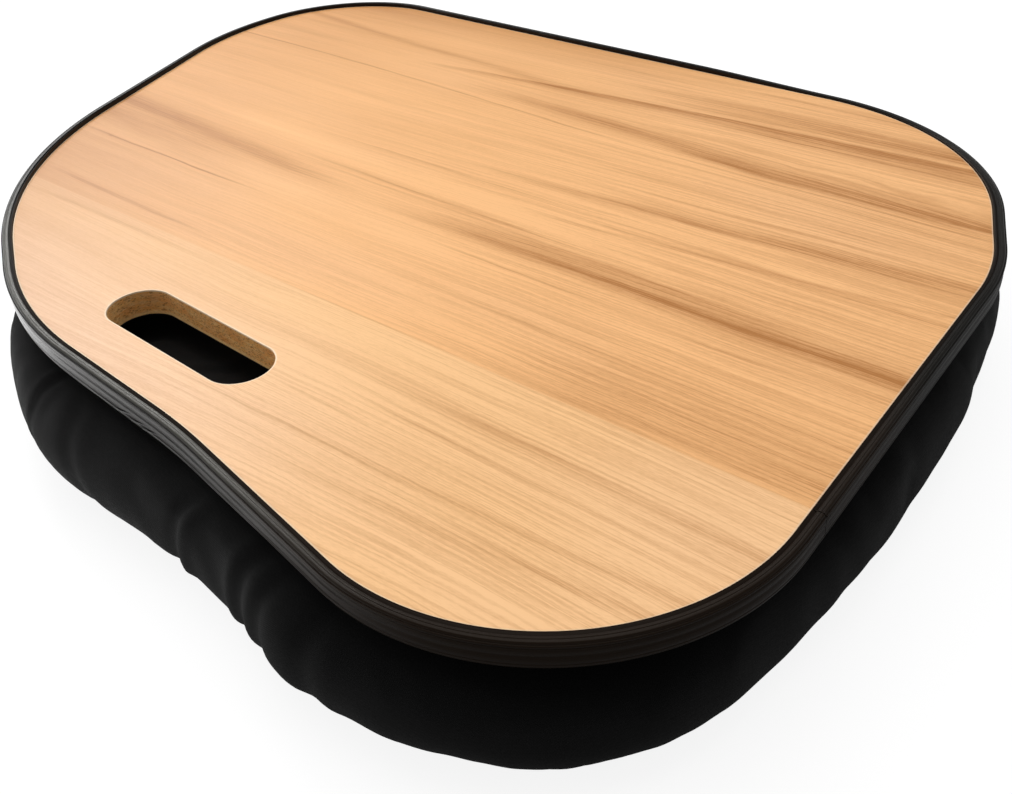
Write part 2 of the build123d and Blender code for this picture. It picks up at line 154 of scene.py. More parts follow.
class Graph:
    """A material's node tree, built by expressions."""

    def __init__(self, name: str, world: bool = False) -> None:
        """Start an empty material or world.

        Args:
            name: Its name.
            world: Whether it is a world.
        """
        self.block = bpy.data.worlds.new(name) if world else bpy.data.materials.new(name)
        self.block.use_nodes = True
        self.tree = self.block.node_tree
        self.tree.nodes.clear()

    def node(self, kind: str, settings: dict | None = None,
             sockets: dict | None = None) -> bpy.types.Node:
        """Add a node, set it up, and then fill its sockets.

        Args:
            kind: The node's type.
            settings: Its own settings.
            sockets: Values, terms or output sockets, by input name or number.

        Returns:
            The node.
        """
        node = self.tree.nodes.new(kind)
        for key, setting in (settings or {}).items():
            setattr(node, key, setting)
        for key, given in (sockets or {}).items():
            socket = node.inputs[key]
            given = given.socket if isinstance(given, Term) else given
            if isinstance(given, bpy.types.NodeSocket):
                self.tree.links.new(given, socket)
            elif isinstance(given, tuple) and len(given) == 3 and socket.type == "RGBA":
                socket.default_value = (*given, 1.0)
            else:
                socket.default_value = given
        return node

    def value(self, kind: str, settings: dict, sockets: dict, output: int | str = 0) -> Term:
        """Add a node and wrap one of its outputs.

        Args:
            kind: The node's type.
            settings: Its own settings.
            sockets: Its inputs.
            output: The output's name or number.

        Returns:
            The wrapped output.
        """
        return Term(self, self.node(kind, settings, sockets).outputs[output])

    def _axes(self, source: bpy.types.NodeSocket) -> tuple[Term, ...]:
        """Split a vector in metres into millimetres along X, Y and Z.

        Args:
            source: The socket that gives the vector.

        Returns:
            The three values.
        """
        settings = {"operation": "SCALE"}
        scaled = self.node("ShaderNodeVectorMath", settings, {0: source, "Scale": 1 / MM})
        parts = self.node("ShaderNodeSeparateXYZ", None, {0: scaled.outputs[0]})
        return tuple(Term(self, socket) for socket in parts.outputs)

    def place(self) -> tuple[Term, ...]:
        """Millimetres along X, Y and Z in the frame."""
        return self._axes(self.node("ShaderNodeTexCoord").outputs["Object"])

    def surface(self, name: str) -> tuple[Term, ...]:
        """Millimetres along a piece's own surface, from its UV map of that name."""
        return self._axes(self.node("ShaderNodeUVMap", {"uv_map": name}).outputs[0])[:2]

    def rays(self) -> tuple[Term, ...]:
        """Whether a ray comes from the camera, a reflection or a clear surface."""
        outputs = self.node("ShaderNodeLightPath").outputs
        names = ("Is Camera Ray", "Is Glossy Ray", "Is Transmission Ray")
        return tuple(Term(self, outputs[name]) for name in names)

    def _vector(self, *parts: Term | float) -> bpy.types.NodeSocket:
        """Join three values into a vector."""
        return self.node("ShaderNodeCombineXYZ", None, dict(enumerate(parts))).outputs[0]

    def noise(self, x: Term | float, y: Term | float, z: Term | float = 0.0,
              detail: float = 2.0, roughness: float = 0.5) -> Term:
        """Soft noise centred on nought.

        Args:
            x: First coordinate, already divided by its grain size.
            y: Second coordinate.
            z: Third coordinate.
            detail: Finer layers added.
            roughness: Strength of those layers.

        Returns:
            Noise from about -0.5 to 0.5.
        """
        vector = self._vector(x, y, z)
        sockets = {"Vector": vector, "Scale": 1.0, "Detail": detail, "Roughness": roughness}
        return self.value("ShaderNodeTexNoise", {}, sockets) - 0.5

    def cells(self, x: Term, y: Term, z: Term | float = 0.0) -> tuple[Term, Term]:
        """Scattered cells, for flakes and flecks.

        Args:
            x: First coordinate, already divided by the cell's size.
            y: Second coordinate.
            z: Third coordinate.

        Returns:
            Distance to the cell's middle, and a random number for each cell.
        """
        sockets = {"Vector": self._vector(x, y, z), "Scale": 1.0}
        node = self.node("ShaderNodeTexVoronoi", None, sockets)
        parts = self.node("ShaderNodeSeparateColor", None, {0: node.outputs["Color"]})
        return Term(self, node.outputs["Distance"]), Term(self, parts.outputs[0])

    def mix(self, share: Term | float, first: "Colour | Term", second: "Colour | Term") -> Term:
        """Mix two colours.

        Args:
            share: How much of the second.
            first: A colour or a colour term.
            second: A colour or a colour term.

        Returns:
            The mixed colour.
        """
        settings = {"data_type": "RGBA", "clamp_factor": True}
        return self.value("ShaderNodeMix", settings, {0: share, 6: first, 7: second}, 2)

    def tint(self, colour: "Colour | Term", strength: Term) -> Term:
        """Multiply a colour by a value."""
        settings = {"operation": "SCALE"}
        return self.value("ShaderNodeVectorMath", settings, {0: colour, "Scale": strength})

    def bump(self, height: Term, depth: float) -> Term:
        """Turn a height into a normal.

        Args:
            height: The height, from about nought to one.
            depth: What one unit of height stands for, in millimetres.

        Returns:
            The normal.
        """
        sockets = {"Height": height, "Distance": depth * MM, "Strength": 1.0}
        return self.value("ShaderNodeBump", {}, sockets, "Normal")

    def finish(self, sockets: dict) -> bpy.types.Material:
        """Close the material with a Principled shader.

        Args:
            sockets: The shader's inputs.

        Returns:
            The material.
        """
        shader = self.node("ShaderNodeBsdfPrincipled", None, sockets)
        self.node("ShaderNodeOutputMaterial", None, {"Surface": shader.outputs[0]})
        return self.block


# ---- finishes ------------------------------------------------------------------------------
@dataclass(frozen=True)
class Streak:
    """One line in the laminate's print, darker, or paler where its depth is below nought."""

    height: float        # where it crosses the middle of the board, along Y
    slope: float         # rise for each millimetre along X
    bend: float          # further rise at 100 mm from the middle
    upper: float         # width of its soft edge towards the back
    lower: float         # width of its soft edge towards the front
    start: float         # where it starts and ends along X
    end: float
    depth: float         # share of the dark tone


@dataclass(frozen=True)
class Shade:
    """A soft stretch that takes more of a tone, or less where its depth is below nought."""

    depth: float
    x: Point | None = None           # where it starts and where it is full, along X
    y: Point | None = None           # the same along Y
    planks: Point = (1.0, 1.0)       # its share behind the front plank and on it

    def over(self, x: Term, y: Term, front: Term | float = 0.0) -> Term:
        """Its share of the tone over the part.

        Args:
            x: Millimetres along X.
            y: Millimetres along Y.
            front: One on the front plank.

        Returns:
            The share.
        """
        behind, ahead = self.planks
        share = 1.0 if behind == ahead else front * (ahead - behind) + behind
        for axis, limits in ((x, self.x), (y, self.y)):
            if limits:
                share = axis.ramp(*limits) * share
        return share * self.depth


@dataclass(frozen=True)
class WoodLaminate:
    """Printed wood-effect laminate: planks, streaks, fibres and pores along X."""

    gold: Colour = srgb(255, 196, 135)
    deep: Colour = srgb(182, 121, 63)
    pale: Colour = srgb(252, 213, 183)
    plank: Colour = srgb(255, 206, 149)
    # Pale colour of a painted highlight on the laminate's border and cut edge, where the eased edge
    # catches the light.
    edge_highlight: Colour = srgb(255, 236, 208)
    back_plank: Point = (-7.6, 0.007)     # height and slope of the two plank joints
    front_plank: Point = (-98.3, 0.040)
    fade: float = 70.0                    # length over which a streak starts or ends
    knot: Point = (-163.0, -54.6)
    knot_size: Point = (1.6, 0.7)
    cut_edge: Point = (59.55, 59.75)      # heights between which the cut edge turns into the face
    # Bends of the grain: length, width, seed and height.
    sways: tuple[tuple[float, float, float, float], ...] = (
        (130.0, 60.0, 0.0, 4.0),
        (38.0, 16.0, 3.0, 1.3),
        (13.0, 7.0, 5.0, 0.5),
    )
    # Darker stretches: partly print tone, partly painted shade for the uneven light across the
    # board, most of all on the left and back left.
    dark_print_and_shade: tuple[Shade, ...] = (
        Shade(0.12, x=(60, 260)),
        Shade(0.20, x=(0, -130), y=(20, -50), planks=(1.0, 0.4)),
        Shade(0.26, x=(140, -60), y=(140, 184)),
        Shade(0.04, y=(10, 160)),
        Shade(0.22, x=(-80, -230)),
        Shade(0.10, x=(60, -60), y=(-50, -80)),
        Shade(-0.12, x=(130, 230), planks=(0.0, 1.0)),
        Shade(0.16, x=(130, -170)),
    )
    # Paler stretches: partly print tone, partly painted sheen where the key lamp's reflection falls
    # on the front left of the board.
    pale_print_and_sheen: tuple[Shade, ...] = (
        Shade(0.14, x=(150, 250), planks=(0.0, 1.0)),
        Shade(0.55, x=(210, 0), y=(-105, -178)),
        Shade(0.40, x=(120, -220), y=(0, -190)),
    )
    streaks: tuple[Streak, ...] = (
        Streak(127.0, 0.106, -1.1, 0.8, 3.4, -120, 400, 0.44),
        Streak(124.0, 0.085, -0.7, 5.0, 6.0, -60, 400, 0.30),
        Streak(147.0, 0.020, 0.0, 6.0, 4.0, -10, 400, 0.26),
        Streak(123.5, 0.040, -0.1, 1.8, 2.2, 60, 400, 0.36),
        Streak(134.0, 0.085, -0.6, 4.4, 1.4, 20, 400, 0.28),
        Streak(126.0, -0.050, 1.1, 3.0, 3.5, -330, 20, 0.26),
        Streak(100.4, -0.020, -6.0, 6.0, 4.0, -80, 160, 0.32),
        Streak(100.2, -0.150, 5.6, 8.0, 3.4, 60, 400, 0.40),
        Streak(98.0, -0.145, 5.5, 1.0, 0.8, 90, 400, 0.16),
        Streak(101.0, -0.060, 2.0, 12.0, 9.0, -40, 400, 0.16),
        Streak(87.3, -0.045, -0.8, 0.7, 0.7, -400, 90, 0.36),
        Streak(85.0, -0.030, 1.6, 0.7, 0.7, 40, 400, 0.32),
        Streak(77.0, 0.006, 0.0, 0.9, 0.7, 20, 400, 0.20),
        Streak(58.0, 0.010, 0.3, 0.8, 1.2, 30, 400, 0.20),
        Streak(20.0, 0.108, 0.2, 4.2, 2.4, 10, 400, 0.26),
        Streak(30.0, 0.060, 0.4, 6.0, 6.0, 60, 400, 0.18),
        Streak(-6.0, 0.125, 0.3, 1.3, 1.0, 50, 400, 0.26),
        Streak(25.0, 0.060, 0.5, 1.0, 1.2, -20, 400, 0.24),
        Streak(14.0, 0.018, 0.4, 0.7, 0.8, -90, 400, 0.22),
        Streak(7.0, 0.040, 0.5, 0.7, 0.8, -20, 400, 0.28),
        Streak(41.0, 0.055, 0.2, 1.2, 0.8, 60, 400, 0.24),
        Streak(-17.0, 0.0, 0.0, 6.0, 10.0, 20, 400, 0.28),
        Streak(-26.6, 0.034, -0.2, 5.0, 4.2, 0, 400, 0.38),
        Streak(-27.0, 0.034, -0.2, 1.0, 0.8, 40, 400, 0.16),
        Streak(-10.5, 0.0, 0.0, 0.8, 0.8, -80, 130, 0.30),
        Streak(-14.2, 0.004, 0.0, 0.7, 0.7, -90, 240, 0.20),
        Streak(-27.0, -0.035, 0.0, 7.0, 5.5, -300, 0, 0.40),
        Streak(-33.0, 0.0, 0.0, 5.0, 12.0, -300, -60, 0.22),
        Streak(-50.0, 0.027, 0.0, 0.6, 0.6, -210, -20, 0.56),
        Streak(-39.5, 0.014, 0.0, 0.7, 0.7, 20, 260, 0.28),
        Streak(-67.0, 0.028, 0.0, 1.6, 1.0, 60, 400, 0.20),
        Streak(-82.0, 0.020, 0.0, 11.0, 12.0, 110, 400, 0.26),
        Streak(-98.6, 0.040, 0.0, 0.5, 0.4, 10, 150, 0.30),
        Streak(2.0, 0.0, 0.0, 6.0, 7.0, -170, 110, -0.14),
        Streak(-46.0, 0.0, 0.0, 14.0, 14.0, -90, 120, -0.10),
        Streak(-91.5, 0.014, 0.0, 1.2, 1.2, -170, 0, 0.30),
        Streak(-104.0, 0.050, 0.0, 1.4, 1.0, -170, 20, 0.22),
        Streak(-124.5, 0.046, 0.0, 3.2, 2.4, 90, 400, 0.16),
        Streak(-133.0, 0.034, 0.0, 0.8, 0.8, 90, 400, 0.26),
        Streak(-116.0, 0.012, 0.0, 0.8, 0.8, 100, 400, 0.20),
        Streak(-162.0, 0.078, 0.8, 2.0, 1.6, 30, 400, 0.24),
        Streak(-180.0, 0.112, 1.0, 2.4, 1.8, 90, 400, 0.20),
        Streak(173.5, 0.006, 0.0, 1.0, 1.0, 30, 260, 0.20),
        Streak(166.0, 0.010, 0.0, 0.8, 0.8, -60, 160, 0.16),
        Streak(152.0, 0.012, 0.0, 5.0, 4.0, 20, 260, 0.16),
        Streak(136.5, 0.018, 0.0, 4.5, 4.0, 20, 215, 0.22),
    )

    def _streak(self, x: Term, y: Term, streak: Streak) -> Term:
        """One streak's share of the dark tone.

        Args:
            x: Millimetres along the grain.
            y: Millimetres across the grain.
            streak: The streak.

        Returns:
            Its depth over the board.
        """
        centre = x * streak.slope + x * x * (streak.bend / 1e4) + streak.height
        across = y - centre
        offset = across.most(0.0) / streak.upper + across.least(0.0) / streak.lower
        window = x.ramp(streak.start, streak.start + self.fade)
        window = window * x.ramp(streak.end, streak.end - self.fade)
        return offset.bell() * window * streak.depth

    @staticmethod
    def _fibres(g: Graph, grain: Term, board: Term, marks: Term) -> tuple[Term, Term]:
        """The print's clouds, threads, pores and hatching, with its streaks.

        Args:
            g: The material's graph.
            grain: Millimetres across the bent grain.
            board: A number for each plank.
            marks: The streaks' share of the dark tone.

        Returns:
            The share of the dark tone, and the relief.
        """
        x, y, _ = g.place()
        climb = ((y + 165.0) / 28.0).bell() * 14.0 - ((y - 96.0) / 18.0).bell() * 20.0
        fibre = grain - x.ramp(-120.0, 260.0) * (climb + 12.0)
        right = x.ramp(-160.0, 190.0)
        threads = g.noise(x / 60.0, fibre / 1.0, board, detail=3.0, roughness=0.6)
        hair = g.noise(x / 20.0, fibre / 0.45, board + 3.0, detail=2.0)
        lines = g.noise(x / 190.0, fibre / 2.4, board + 5.0, detail=2.0)
        flecks = g.noise(x / 3.4, grain / 0.62, board, detail=2.0, roughness=0.7)
        hatch = g.noise((x * 0.88 + y * 0.48) / 6.5, (y * 0.88 - x * 0.48) / 0.7, 9.0, detail=1.0)
        depth = g.noise(x / 240.0, fibre / 17.0, board, detail=2.0) * 0.30 + 0.05
        depth = depth + g.noise(x / 150.0, fibre / 4.2, board, detail=2.0) * 0.24
        depth = depth + threads * (right * 0.16 + 0.22) + hair * (right * 0.16 + 0.16)
        depth = depth + flecks * (right * 0.26 + 0.18) + hatch * right * 0.16
        depth = depth + abs(lines).ramp(0.09, 0.0) * (right * 0.20 + 0.03)
        return depth + marks * (1.0 + threads * 1.1 + hair * 0.7), flecks + hair * 0.8

    def build(self) -> bpy.types.Material:
        """Make the material.

        Returns:
            The material.
        """
        g = Graph("wood_laminate")
        x, y, z = g.place()
        grain = y
        for length, width, seed, height in self.sways:
            grain = grain + g.noise(x / length, y / width, seed, detail=1.0) * height
        slope = self.front_plank[1]
        front = 1.0 - (y - x * slope - self.front_plank[0]).ramp(-0.5, 0.5)
        back = (y - x * self.back_plank[1] - self.back_plank[0]).ramp(-0.4, 0.4)
        marks = 0.0
        for streak in self.streaks:
            marks = self._streak(x, grain, streak) + marks
        depth, relief = self._fibres(g, grain, front * 17.0 + back * 41.0, marks)
        for shade in self.dark_print_and_shade:
            depth = depth + shade.over(x, y, front)
        # Paler tone: random clouds in the print, plus the paler stretches with their painted sheen.
        pale_and_sheen = g.noise(x / 120.0, grain / 45.0, 7.0, detail=1.0) * 0.22
        for shade in self.pale_print_and_sheen:
            pale_and_sheen = pale_and_sheen + shade.over(x, y, front)
        tone = g.mix(front * 0.75, self.gold, self.plank)
        tone = g.mix(pale_and_sheen, tone, self.pale)
        tone = g.mix(depth, tone, self.deep)
        knot = ((x - self.knot[0]) / self.knot_size[0]).bell()
        knot = knot * ((y - self.knot[1]) / self.knot_size[1]).bell()
        tone = g.mix(knot * 0.8, tone, self.deep)
        # Painted highlight: the border and the cut edge below the face are mixed towards the pale
        # colour, more so on the left.
        rim, _ = g.surface("rim")
        tone = g.mix(rim.ramp(0.25, 0.9) * (x.ramp(250.0, 20.0) * 0.25 + 0.45), tone, self.edge_highlight)
        tone = g.mix(1.0 - z.ramp(*self.cut_edge), tone, self.edge_highlight)
        rough = 0.42 + g.noise(x / 14.0, grain / 2.0, detail=2.0) * 0.10
        return g.finish({
            "Base Color": tone,
            "Roughness": rough,
            "Specular IOR Level": 0.12,
            "Normal": g.bump(relief, 0.018),
        })


@dataclass(frozen=True)
class Particleboard:
    """Raw sawn edge of particleboard: pressed chips over a thin paler skin at the bottom."""

    chip: Colour = srgb(252, 196, 118)
    dark: Colour = srgb(166, 104, 54)
    light: Colour = srgb(255, 222, 160)
    red: Colour = srgb(232, 144, 72)
    chip_size: Place = (2.6, 2.6, 0.8)
    skin: Point = (51.3, 50.7)     # heights where the paler skin starts and is full

    def build(self) -> bpy.types.Material:
        """Make the material.

        Returns:
            The material.
        """
        g = Graph("particleboard")
        x, y, z = g.place()
        wide, deep, tall = self.chip_size
        edge, tone = g.cells(x / wide, y / deep, z / tall)
        fine, speck = g.cells(x / 0.7, y / 0.7, z / 0.3)
        grain = g.noise(x / 1.2, y / 1.2, z / 0.4, detail=3.0, roughness=0.7)
        cloud = g.noise(x / 9.0, y / 9.0, z / 3.0, detail=2.0)
        colour = g.mix(tone * 0.7, self.chip, self.light)
        colour = g.mix(cloud * 1.4 + 0.15, colour, self.red)
        colour = g.mix(speck.ramp(0.74, 0.95) * 0.7, colour, self.dark)
        colour = g.mix(grain * 1.2 + 0.06, colour, self.dark)
        skin = z.ramp(*self.skin) * 0.6
        colour = g.mix(skin, colour, self.light)
        height = edge * 0.7 + fine * 0.3 + grain
        return g.finish({
            "Base Color": colour,
            "Roughness": 0.86,
            "Specular IOR Level": 0.2,
            "Normal": g.bump(height, 0.28),
        })


@dataclass(frozen=True)
class BandPlastic:
    """Extruded black edging with faint draw lines, small nicks and crazing at its joint."""

    black: Colour = srgb(16, 14, 11)
    warm: Colour = srgb(29, 19, 11)
    worn: Colour = srgb(50, 46, 39)
    sheen: Colour = srgb(255, 247, 236)
    # Brown of a painted reflection of the wood in the lip beside it.
    lip_reflection: Colour = srgb(26, 16, 9)
    # Pale grey of a painted highlight of the key lamp on the main bead.
    bead_highlight: Colour = srgb(104, 103, 97)
    nicked: Colour = srgb(4, 4, 4)
    crack_place: Place = (0.0, 0.0, 0.0)
    crack_reach: Point = (6.5, 3.0)      # where the crazing starts and where it is full
    crack_pitch: float = 0.42
    crack_slope: Point = (0.54, -0.84)
    nick_places: tuple[Place, ...] = ()
    nick_size: Point = (4.2, 0.45)

    def _nicks(self, g: Graph) -> Term:
        """Slanting cracks round the joint and a few nicks in the lower bead.

        Args:
            g: The material's graph.

        Returns:
            One where the plastic is broken.
        """
        x, y, z = g.place()
        cx, cy, cz = self.crack_place
        reach = ((x - cx) * (x - cx) + (y - cy) * (y - cy) + (z - cz) * (z - cz)) ** 0.5
        slant = (y - cy) * self.crack_slope[0] + (z - cz) * self.crack_slope[1]
        slant = slant + g.noise(x / 2.2, y / 2.2, z / 2.2, detail=2.0) * 1.6
        crack = abs((slant / self.crack_pitch).wave()).ramp(0.34, 0.06)
        nicks = crack * reach.ramp(*self.crack_reach)
        length, height = self.nick_size
        for nx, ny, nz in self.nick_places:
            along = ((x - nx) * 0.97 + (y - ny) * -0.25) / length
            nicks = nicks.most(along.bell() * ((z - nz - along) / height).bell() * 1.1)
        return nicks

    def build(self) -> bpy.types.Material:
        """Make the material.

        Returns:
            The material.
        """
        g = Graph("edge_band_plastic")
        run, rise = g.surface("along")
        x, y, z = g.place()
        lines = g.noise(run / 90.0, rise / 0.16, detail=2.0)
        brushed = g.noise(run / 1.1, rise / 3.0, 8.0, detail=2.0)
        scuff = g.noise(run / 26.0, rise / 0.5, 4.0, detail=3.0, roughness=0.65)
        mottle = g.noise(x / 14.0, y / 14.0, z / 6.0, detail=2.0)
        near = x.ramp(40.0, 160.0) * y.ramp(0.0, -60.0)
        colour = g.mix(near * 0.9, self.black, self.warm)
        colour = g.mix(scuff.ramp(0.08, 0.30) * 0.35, colour, self.worn)
        # Painted reflection: the lip next to the wood and its inner wall are tinted brown, as the
        # wood would show in them.
        outward = rise - z
        lip_reflection = outward.ramp(1.75, 1.25) * z.ramp(58.8, 59.4)
        colour = g.mix(lip_reflection * 0.8, colour, self.lip_reflection)
        # Painted highlight on the main bead's top along the front left, broken up by the scuff
        # noise.
        bead_highlight = x.ramp(200.0, 60.0) * y.ramp(-110.0, -150.0)
        bead_highlight = bead_highlight * z.ramp(60.2, 60.55) * outward.ramp(1.5, 1.8)
        colour = g.mix(bead_highlight * (0.55 + scuff * 0.8), colour, self.bead_highlight)
        nicks = self._nicks(g)
        colour = g.mix(nicks, colour, self.nicked)
        rough = 0.30 + mottle * 0.08 + scuff * 0.20 + lines * 0.14 + lip_reflection * 0.10
        height = lines * 0.5 + scuff * 0.25 + brushed * 0.16 - nicks * 2.2
        return g.finish({
            "Base Color": colour,
            "Roughness": rough,
            "Specular IOR Level": 0.12,
            "Specular Tint": self.sheen,
            "Normal": g.bump(height, 0.10),
        })


@dataclass(frozen=True)
class CoverCloth:
    """Black plain-woven polyester, matt, with a fine thread pattern, and light and shade painted
    into its colour on the walls.
    """

    black: Colour = srgb(12, 12, 12)
    thread: float = 0.62           # pitch of the threads
    # Painted light and shade: the front wall is made paler, most of all towards the left, and the
    # right is made darker.
    painted_light_and_shade: tuple[Shade, ...] = (
        Shade(0.6, x=(170, 95), y=(-110, -150)),
        Shade(1.0, x=(20, -100), y=(-110, -150)),
        Shade(-0.3, x=(150, 240)),
    )

    def build(self) -> bpy.types.Material:
        """Make the material.

        Returns:
            The material.
        """
        g = Graph("cover_cloth")
        along, up = g.surface("weave")
        x, y, z = g.place()
        turn = 2 * math.pi / self.thread
        warp = (along * turn).wave()
        weft = (up * turn).wave()
        weave = warp * weft * 0.5 + abs(warp) * 0.25 + abs(weft) * 0.25
        slub = g.noise(along / 9.0, up / 0.6, detail=2.0) + g.noise(along / 0.6, up / 9.0, 5.0)
        cloud = g.noise(x / 34.0, y / 34.0, z / 34.0, detail=3.0)
        # The weave's raised crossings are painted lighter and its hollows darker, as painted shade;
        # slub and cloud are random tone.
        shade = 1.0 + weave * 0.18 + slub * 0.25 + cloud * 0.45
        for stretch in self.painted_light_and_shade:
            shade = shade + stretch.over(x, y)
        colour = g.tint(self.black, shade)
        return g.finish({
            "Base Color": colour,
            "Roughness": 0.92,
            "Specular IOR Level": 0.1,
            "Sheen Weight": 0.06,
            "Sheen Roughness": 0.45,
            "Normal": g.bump(weave * 0.6 + slub * 0.5, 0.10),
        })


class Weave(Enum):
    """Surface of a narrow fabric or tape."""

    HERRINGBONE = "herringbone"
    HOOKS = "hooks"
    LOOPS = "loops"


@dataclass(frozen=True)
class Tape:
    """Narrow woven tape in one of several weaves."""

    name: str
    weave: Weave
    colour: Colour
    pitch: float = 1.6
    relief: float = 0.25

    def build(self) -> bpy.types.Material:
        """Make the material.

        Returns:
            The material.
        """
        g = Graph(self.name)
        x, y, z = g.place()
        turn = 2 * math.pi / self.pitch
        fuzz = g.noise(x / 0.5, y / 0.5, z / 0.5, detail=3.0, roughness=0.7)
        if self.weave is Weave.HERRINGBONE:
            height = ((x + abs(((z / 6.0) * math.pi).wave()) * 3.0) * turn).wave() * 0.5
        elif self.weave is Weave.HOOKS:
            height = ((x * turn).wave() * (y * turn).wave()).most(0.0) ** 0.6
        else:
            curl, _ = g.cells(x / self.pitch, y / self.pitch, z / self.pitch)
            height = (1.0 - curl) + fuzz
        # Colour follows the relief: hollows painted darker and raised threads lighter, as painted
        # shade, with random fuzz.
        shade = 0.85 + height * 0.35 + fuzz * 0.5
        colour = g.tint(self.colour, shade)
        return g.finish({
            "Base Color": colour,
            "Roughness": 0.8,
            "Specular IOR Level": 0.25,
            "Normal": g.bump(height + fuzz * 0.6, self.relief),
        })


@dataclass(frozen=True)
class Moulding:
    """Plain moulded or cast part: plastic, laminate or plated metal."""

    name: str
    colour: Colour
    roughness: float
    metallic: float = 0.0
    grain: float = 1.0           # size of its texture
    relief: float = 0.02

    def build(self) -> bpy.types.Material:
        """Make the material.

        Returns:
            The material.
        """
        g = Graph(self.name)
        x, y, z = g.place()
        fine = g.noise(x / self.grain, y / self.grain, z / self.grain, detail=3.0)
        broad = g.noise(x / 18.0, y / 18.0, z / 18.0, detail=2.0)
        colour = g.tint(self.colour, 1.0 + fine * 0.16 + broad * 0.22)
        return g.finish({
            "Base Color": colour,
            "Roughness": self.roughness + fine * 0.12 + broad * 0.10,
            "Metallic": self.metallic,
            "Normal": g.bump(fine, self.relief),
        })


# ---- mesh tools ----------------------------------------------------------------------------
def select_only(obj: bpy.types.Object) -> None:
    """Select one object and nothing else, and make it active."""
    bpy.ops.object.select_all(action="DESELECT")
    obj.select_set(True)
    bpy.context.view_layer.objects.active = obj


def apply_modifier(obj: bpy.types.Object, kind: str, **settings: object) -> None:
    """Add a modifier, set it up and apply it.

    Args:
        obj: The piece.
        kind: The modifier's type.
        settings: Its settings.
    """
    modifier = obj.modifiers.new(kind.lower(), kind)
    for key, setting in settings.items():
        setattr(modifier, key, setting)
    select_only(obj)
    bpy.ops.object.modifier_apply(modifier=modifier.name)


def edit(obj: bpy.types.Object, *steps: "tuple[str, dict]") -> None:
    """Run edit-mode operators on the whole of a piece.

    Args:
        obj: The piece.
        steps: Operator names in bpy.ops.mesh with their settings.
    """
    select_only(obj)
    bpy.ops.object.mode_set(mode="EDIT")
    bpy.ops.mesh.select_all(action="SELECT")
    for name, settings in steps:
        getattr(bpy.ops.mesh, name)(**settings)
    bpy.ops.object.mode_set(mode="OBJECT")


def smooth(obj: bpy.types.Object, degrees: float = 180.0) -> None:
    """Shade smooth, except across edges sharper than an angle."""
    select_only(obj)
    bpy.ops.object.shade_smooth_by_angle(angle=math.radians(degrees))


def add_object(name: str, data: bpy.types.ID) -> bpy.types.Object:
    """Put an object with this data into the scene, at the origin."""
    obj = bpy.data.objects.new(name, data)
    bpy.context.scene.collection.objects.link(obj)
    return obj


def fresh_map(mesh: bpy.types.Mesh, name: str) -> bpy.types.MeshUVLoopLayer:
    """Give a mesh one empty UV map and no other."""
    for layer in list(mesh.uv_layers):
        mesh.uv_layers.remove(layer)
    return mesh.uv_layers.new(name=name)


def copy_of(node: str, name: str) -> bpy.types.Object:
    """Copy a CAD node's mesh as a new piece with its loose triangles merged.

    Args:
        node: The CAD node.
        name: The new piece's name.

    Returns:
        The new piece, at the origin.
    """
    piece = add_object(name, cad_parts[node].data.copy())
    piece.data.materials.clear()
    edit(piece, ("remove_doubles", {"threshold": 0.01 * MM}))
    return piece


def curve_object(name: str, points: list[Place], cyclic: bool) -> bpy.types.Object:
    """Make a curve object with one straight-sided spline.

    Args:
        name: The object's name.
        points: Its points in millimetres.
        cyclic: Whether it closes, which also makes it a flat curve.

    Returns:
        The object.
    """
    curve = bpy.data.curves.new(name, "CURVE")
    curve.dimensions = "2D" if cyclic else "3D"
    spline = curve.splines.new("POLY")
    spline.points.add(len(points) - 1)
    for point, place in zip(spline.points, points):
        point.co = (*(Vector(place) * MM), 1.0)
    spline.use_cyclic_u = cyclic
    return add_object(name, curve)


def to_mesh(obj: bpy.types.Object) -> None:
    """Turn a curve object into a mesh whose place is in its points."""
    select_only(obj)
    bpy.ops.object.convert(target="MESH")
    bpy.ops.object.transform_apply(location=True, rotation=True, scale=True)


def place_piece(obj: bpy.types.Object, body: Body, slot: str, material: bpy.types.Material,
                *replaced: str) -> None:
    """Give a finished piece its material and its body, and hide the CAD nodes that it stands for.

    Args:
        obj: The piece.
        body: The body that it rides on.
        slot: Not used.
        material: Its material.
        replaced: CAD nodes that it stands for.
    """
    obj.data.materials.clear()
    obj.data.materials.append(material)
    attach(obj, body.value)
    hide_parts(*replaced)
    log.info("%s: %d faces", obj.name, len(obj.data.polygons))


def dress(material: bpy.types.Material, *nodes: str) -> None:
    """Give CAD nodes a material.

    Args:
        material: The material.
        nodes: The nodes' names.
    """
    for name in nodes:
        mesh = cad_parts[name].data
        mesh.materials.clear()
        mesh.materials.append(material)
        log.info("%s dressed in %s", name, material.name)


def round_edges(width: float, *nodes: str) -> None:
    """Soften the edges that a CAD node shows, by live modifiers.

    Args:
        width: Width of the rounding.
        nodes: The nodes' names.
    """
    for name in nodes:
        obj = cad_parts[name]
        weld = obj.modifiers.new("weld", "WELD")
        weld.merge_threshold = 0.005 * MM
        bevel = obj.modifiers.new("bevel", "BEVEL")
        bevel.width = width * MM
        bevel.segments = 2
        bevel.limit_method = "ANGLE"
        bevel.angle_limit = math.radians(40)
        bevel.harden_normals = False


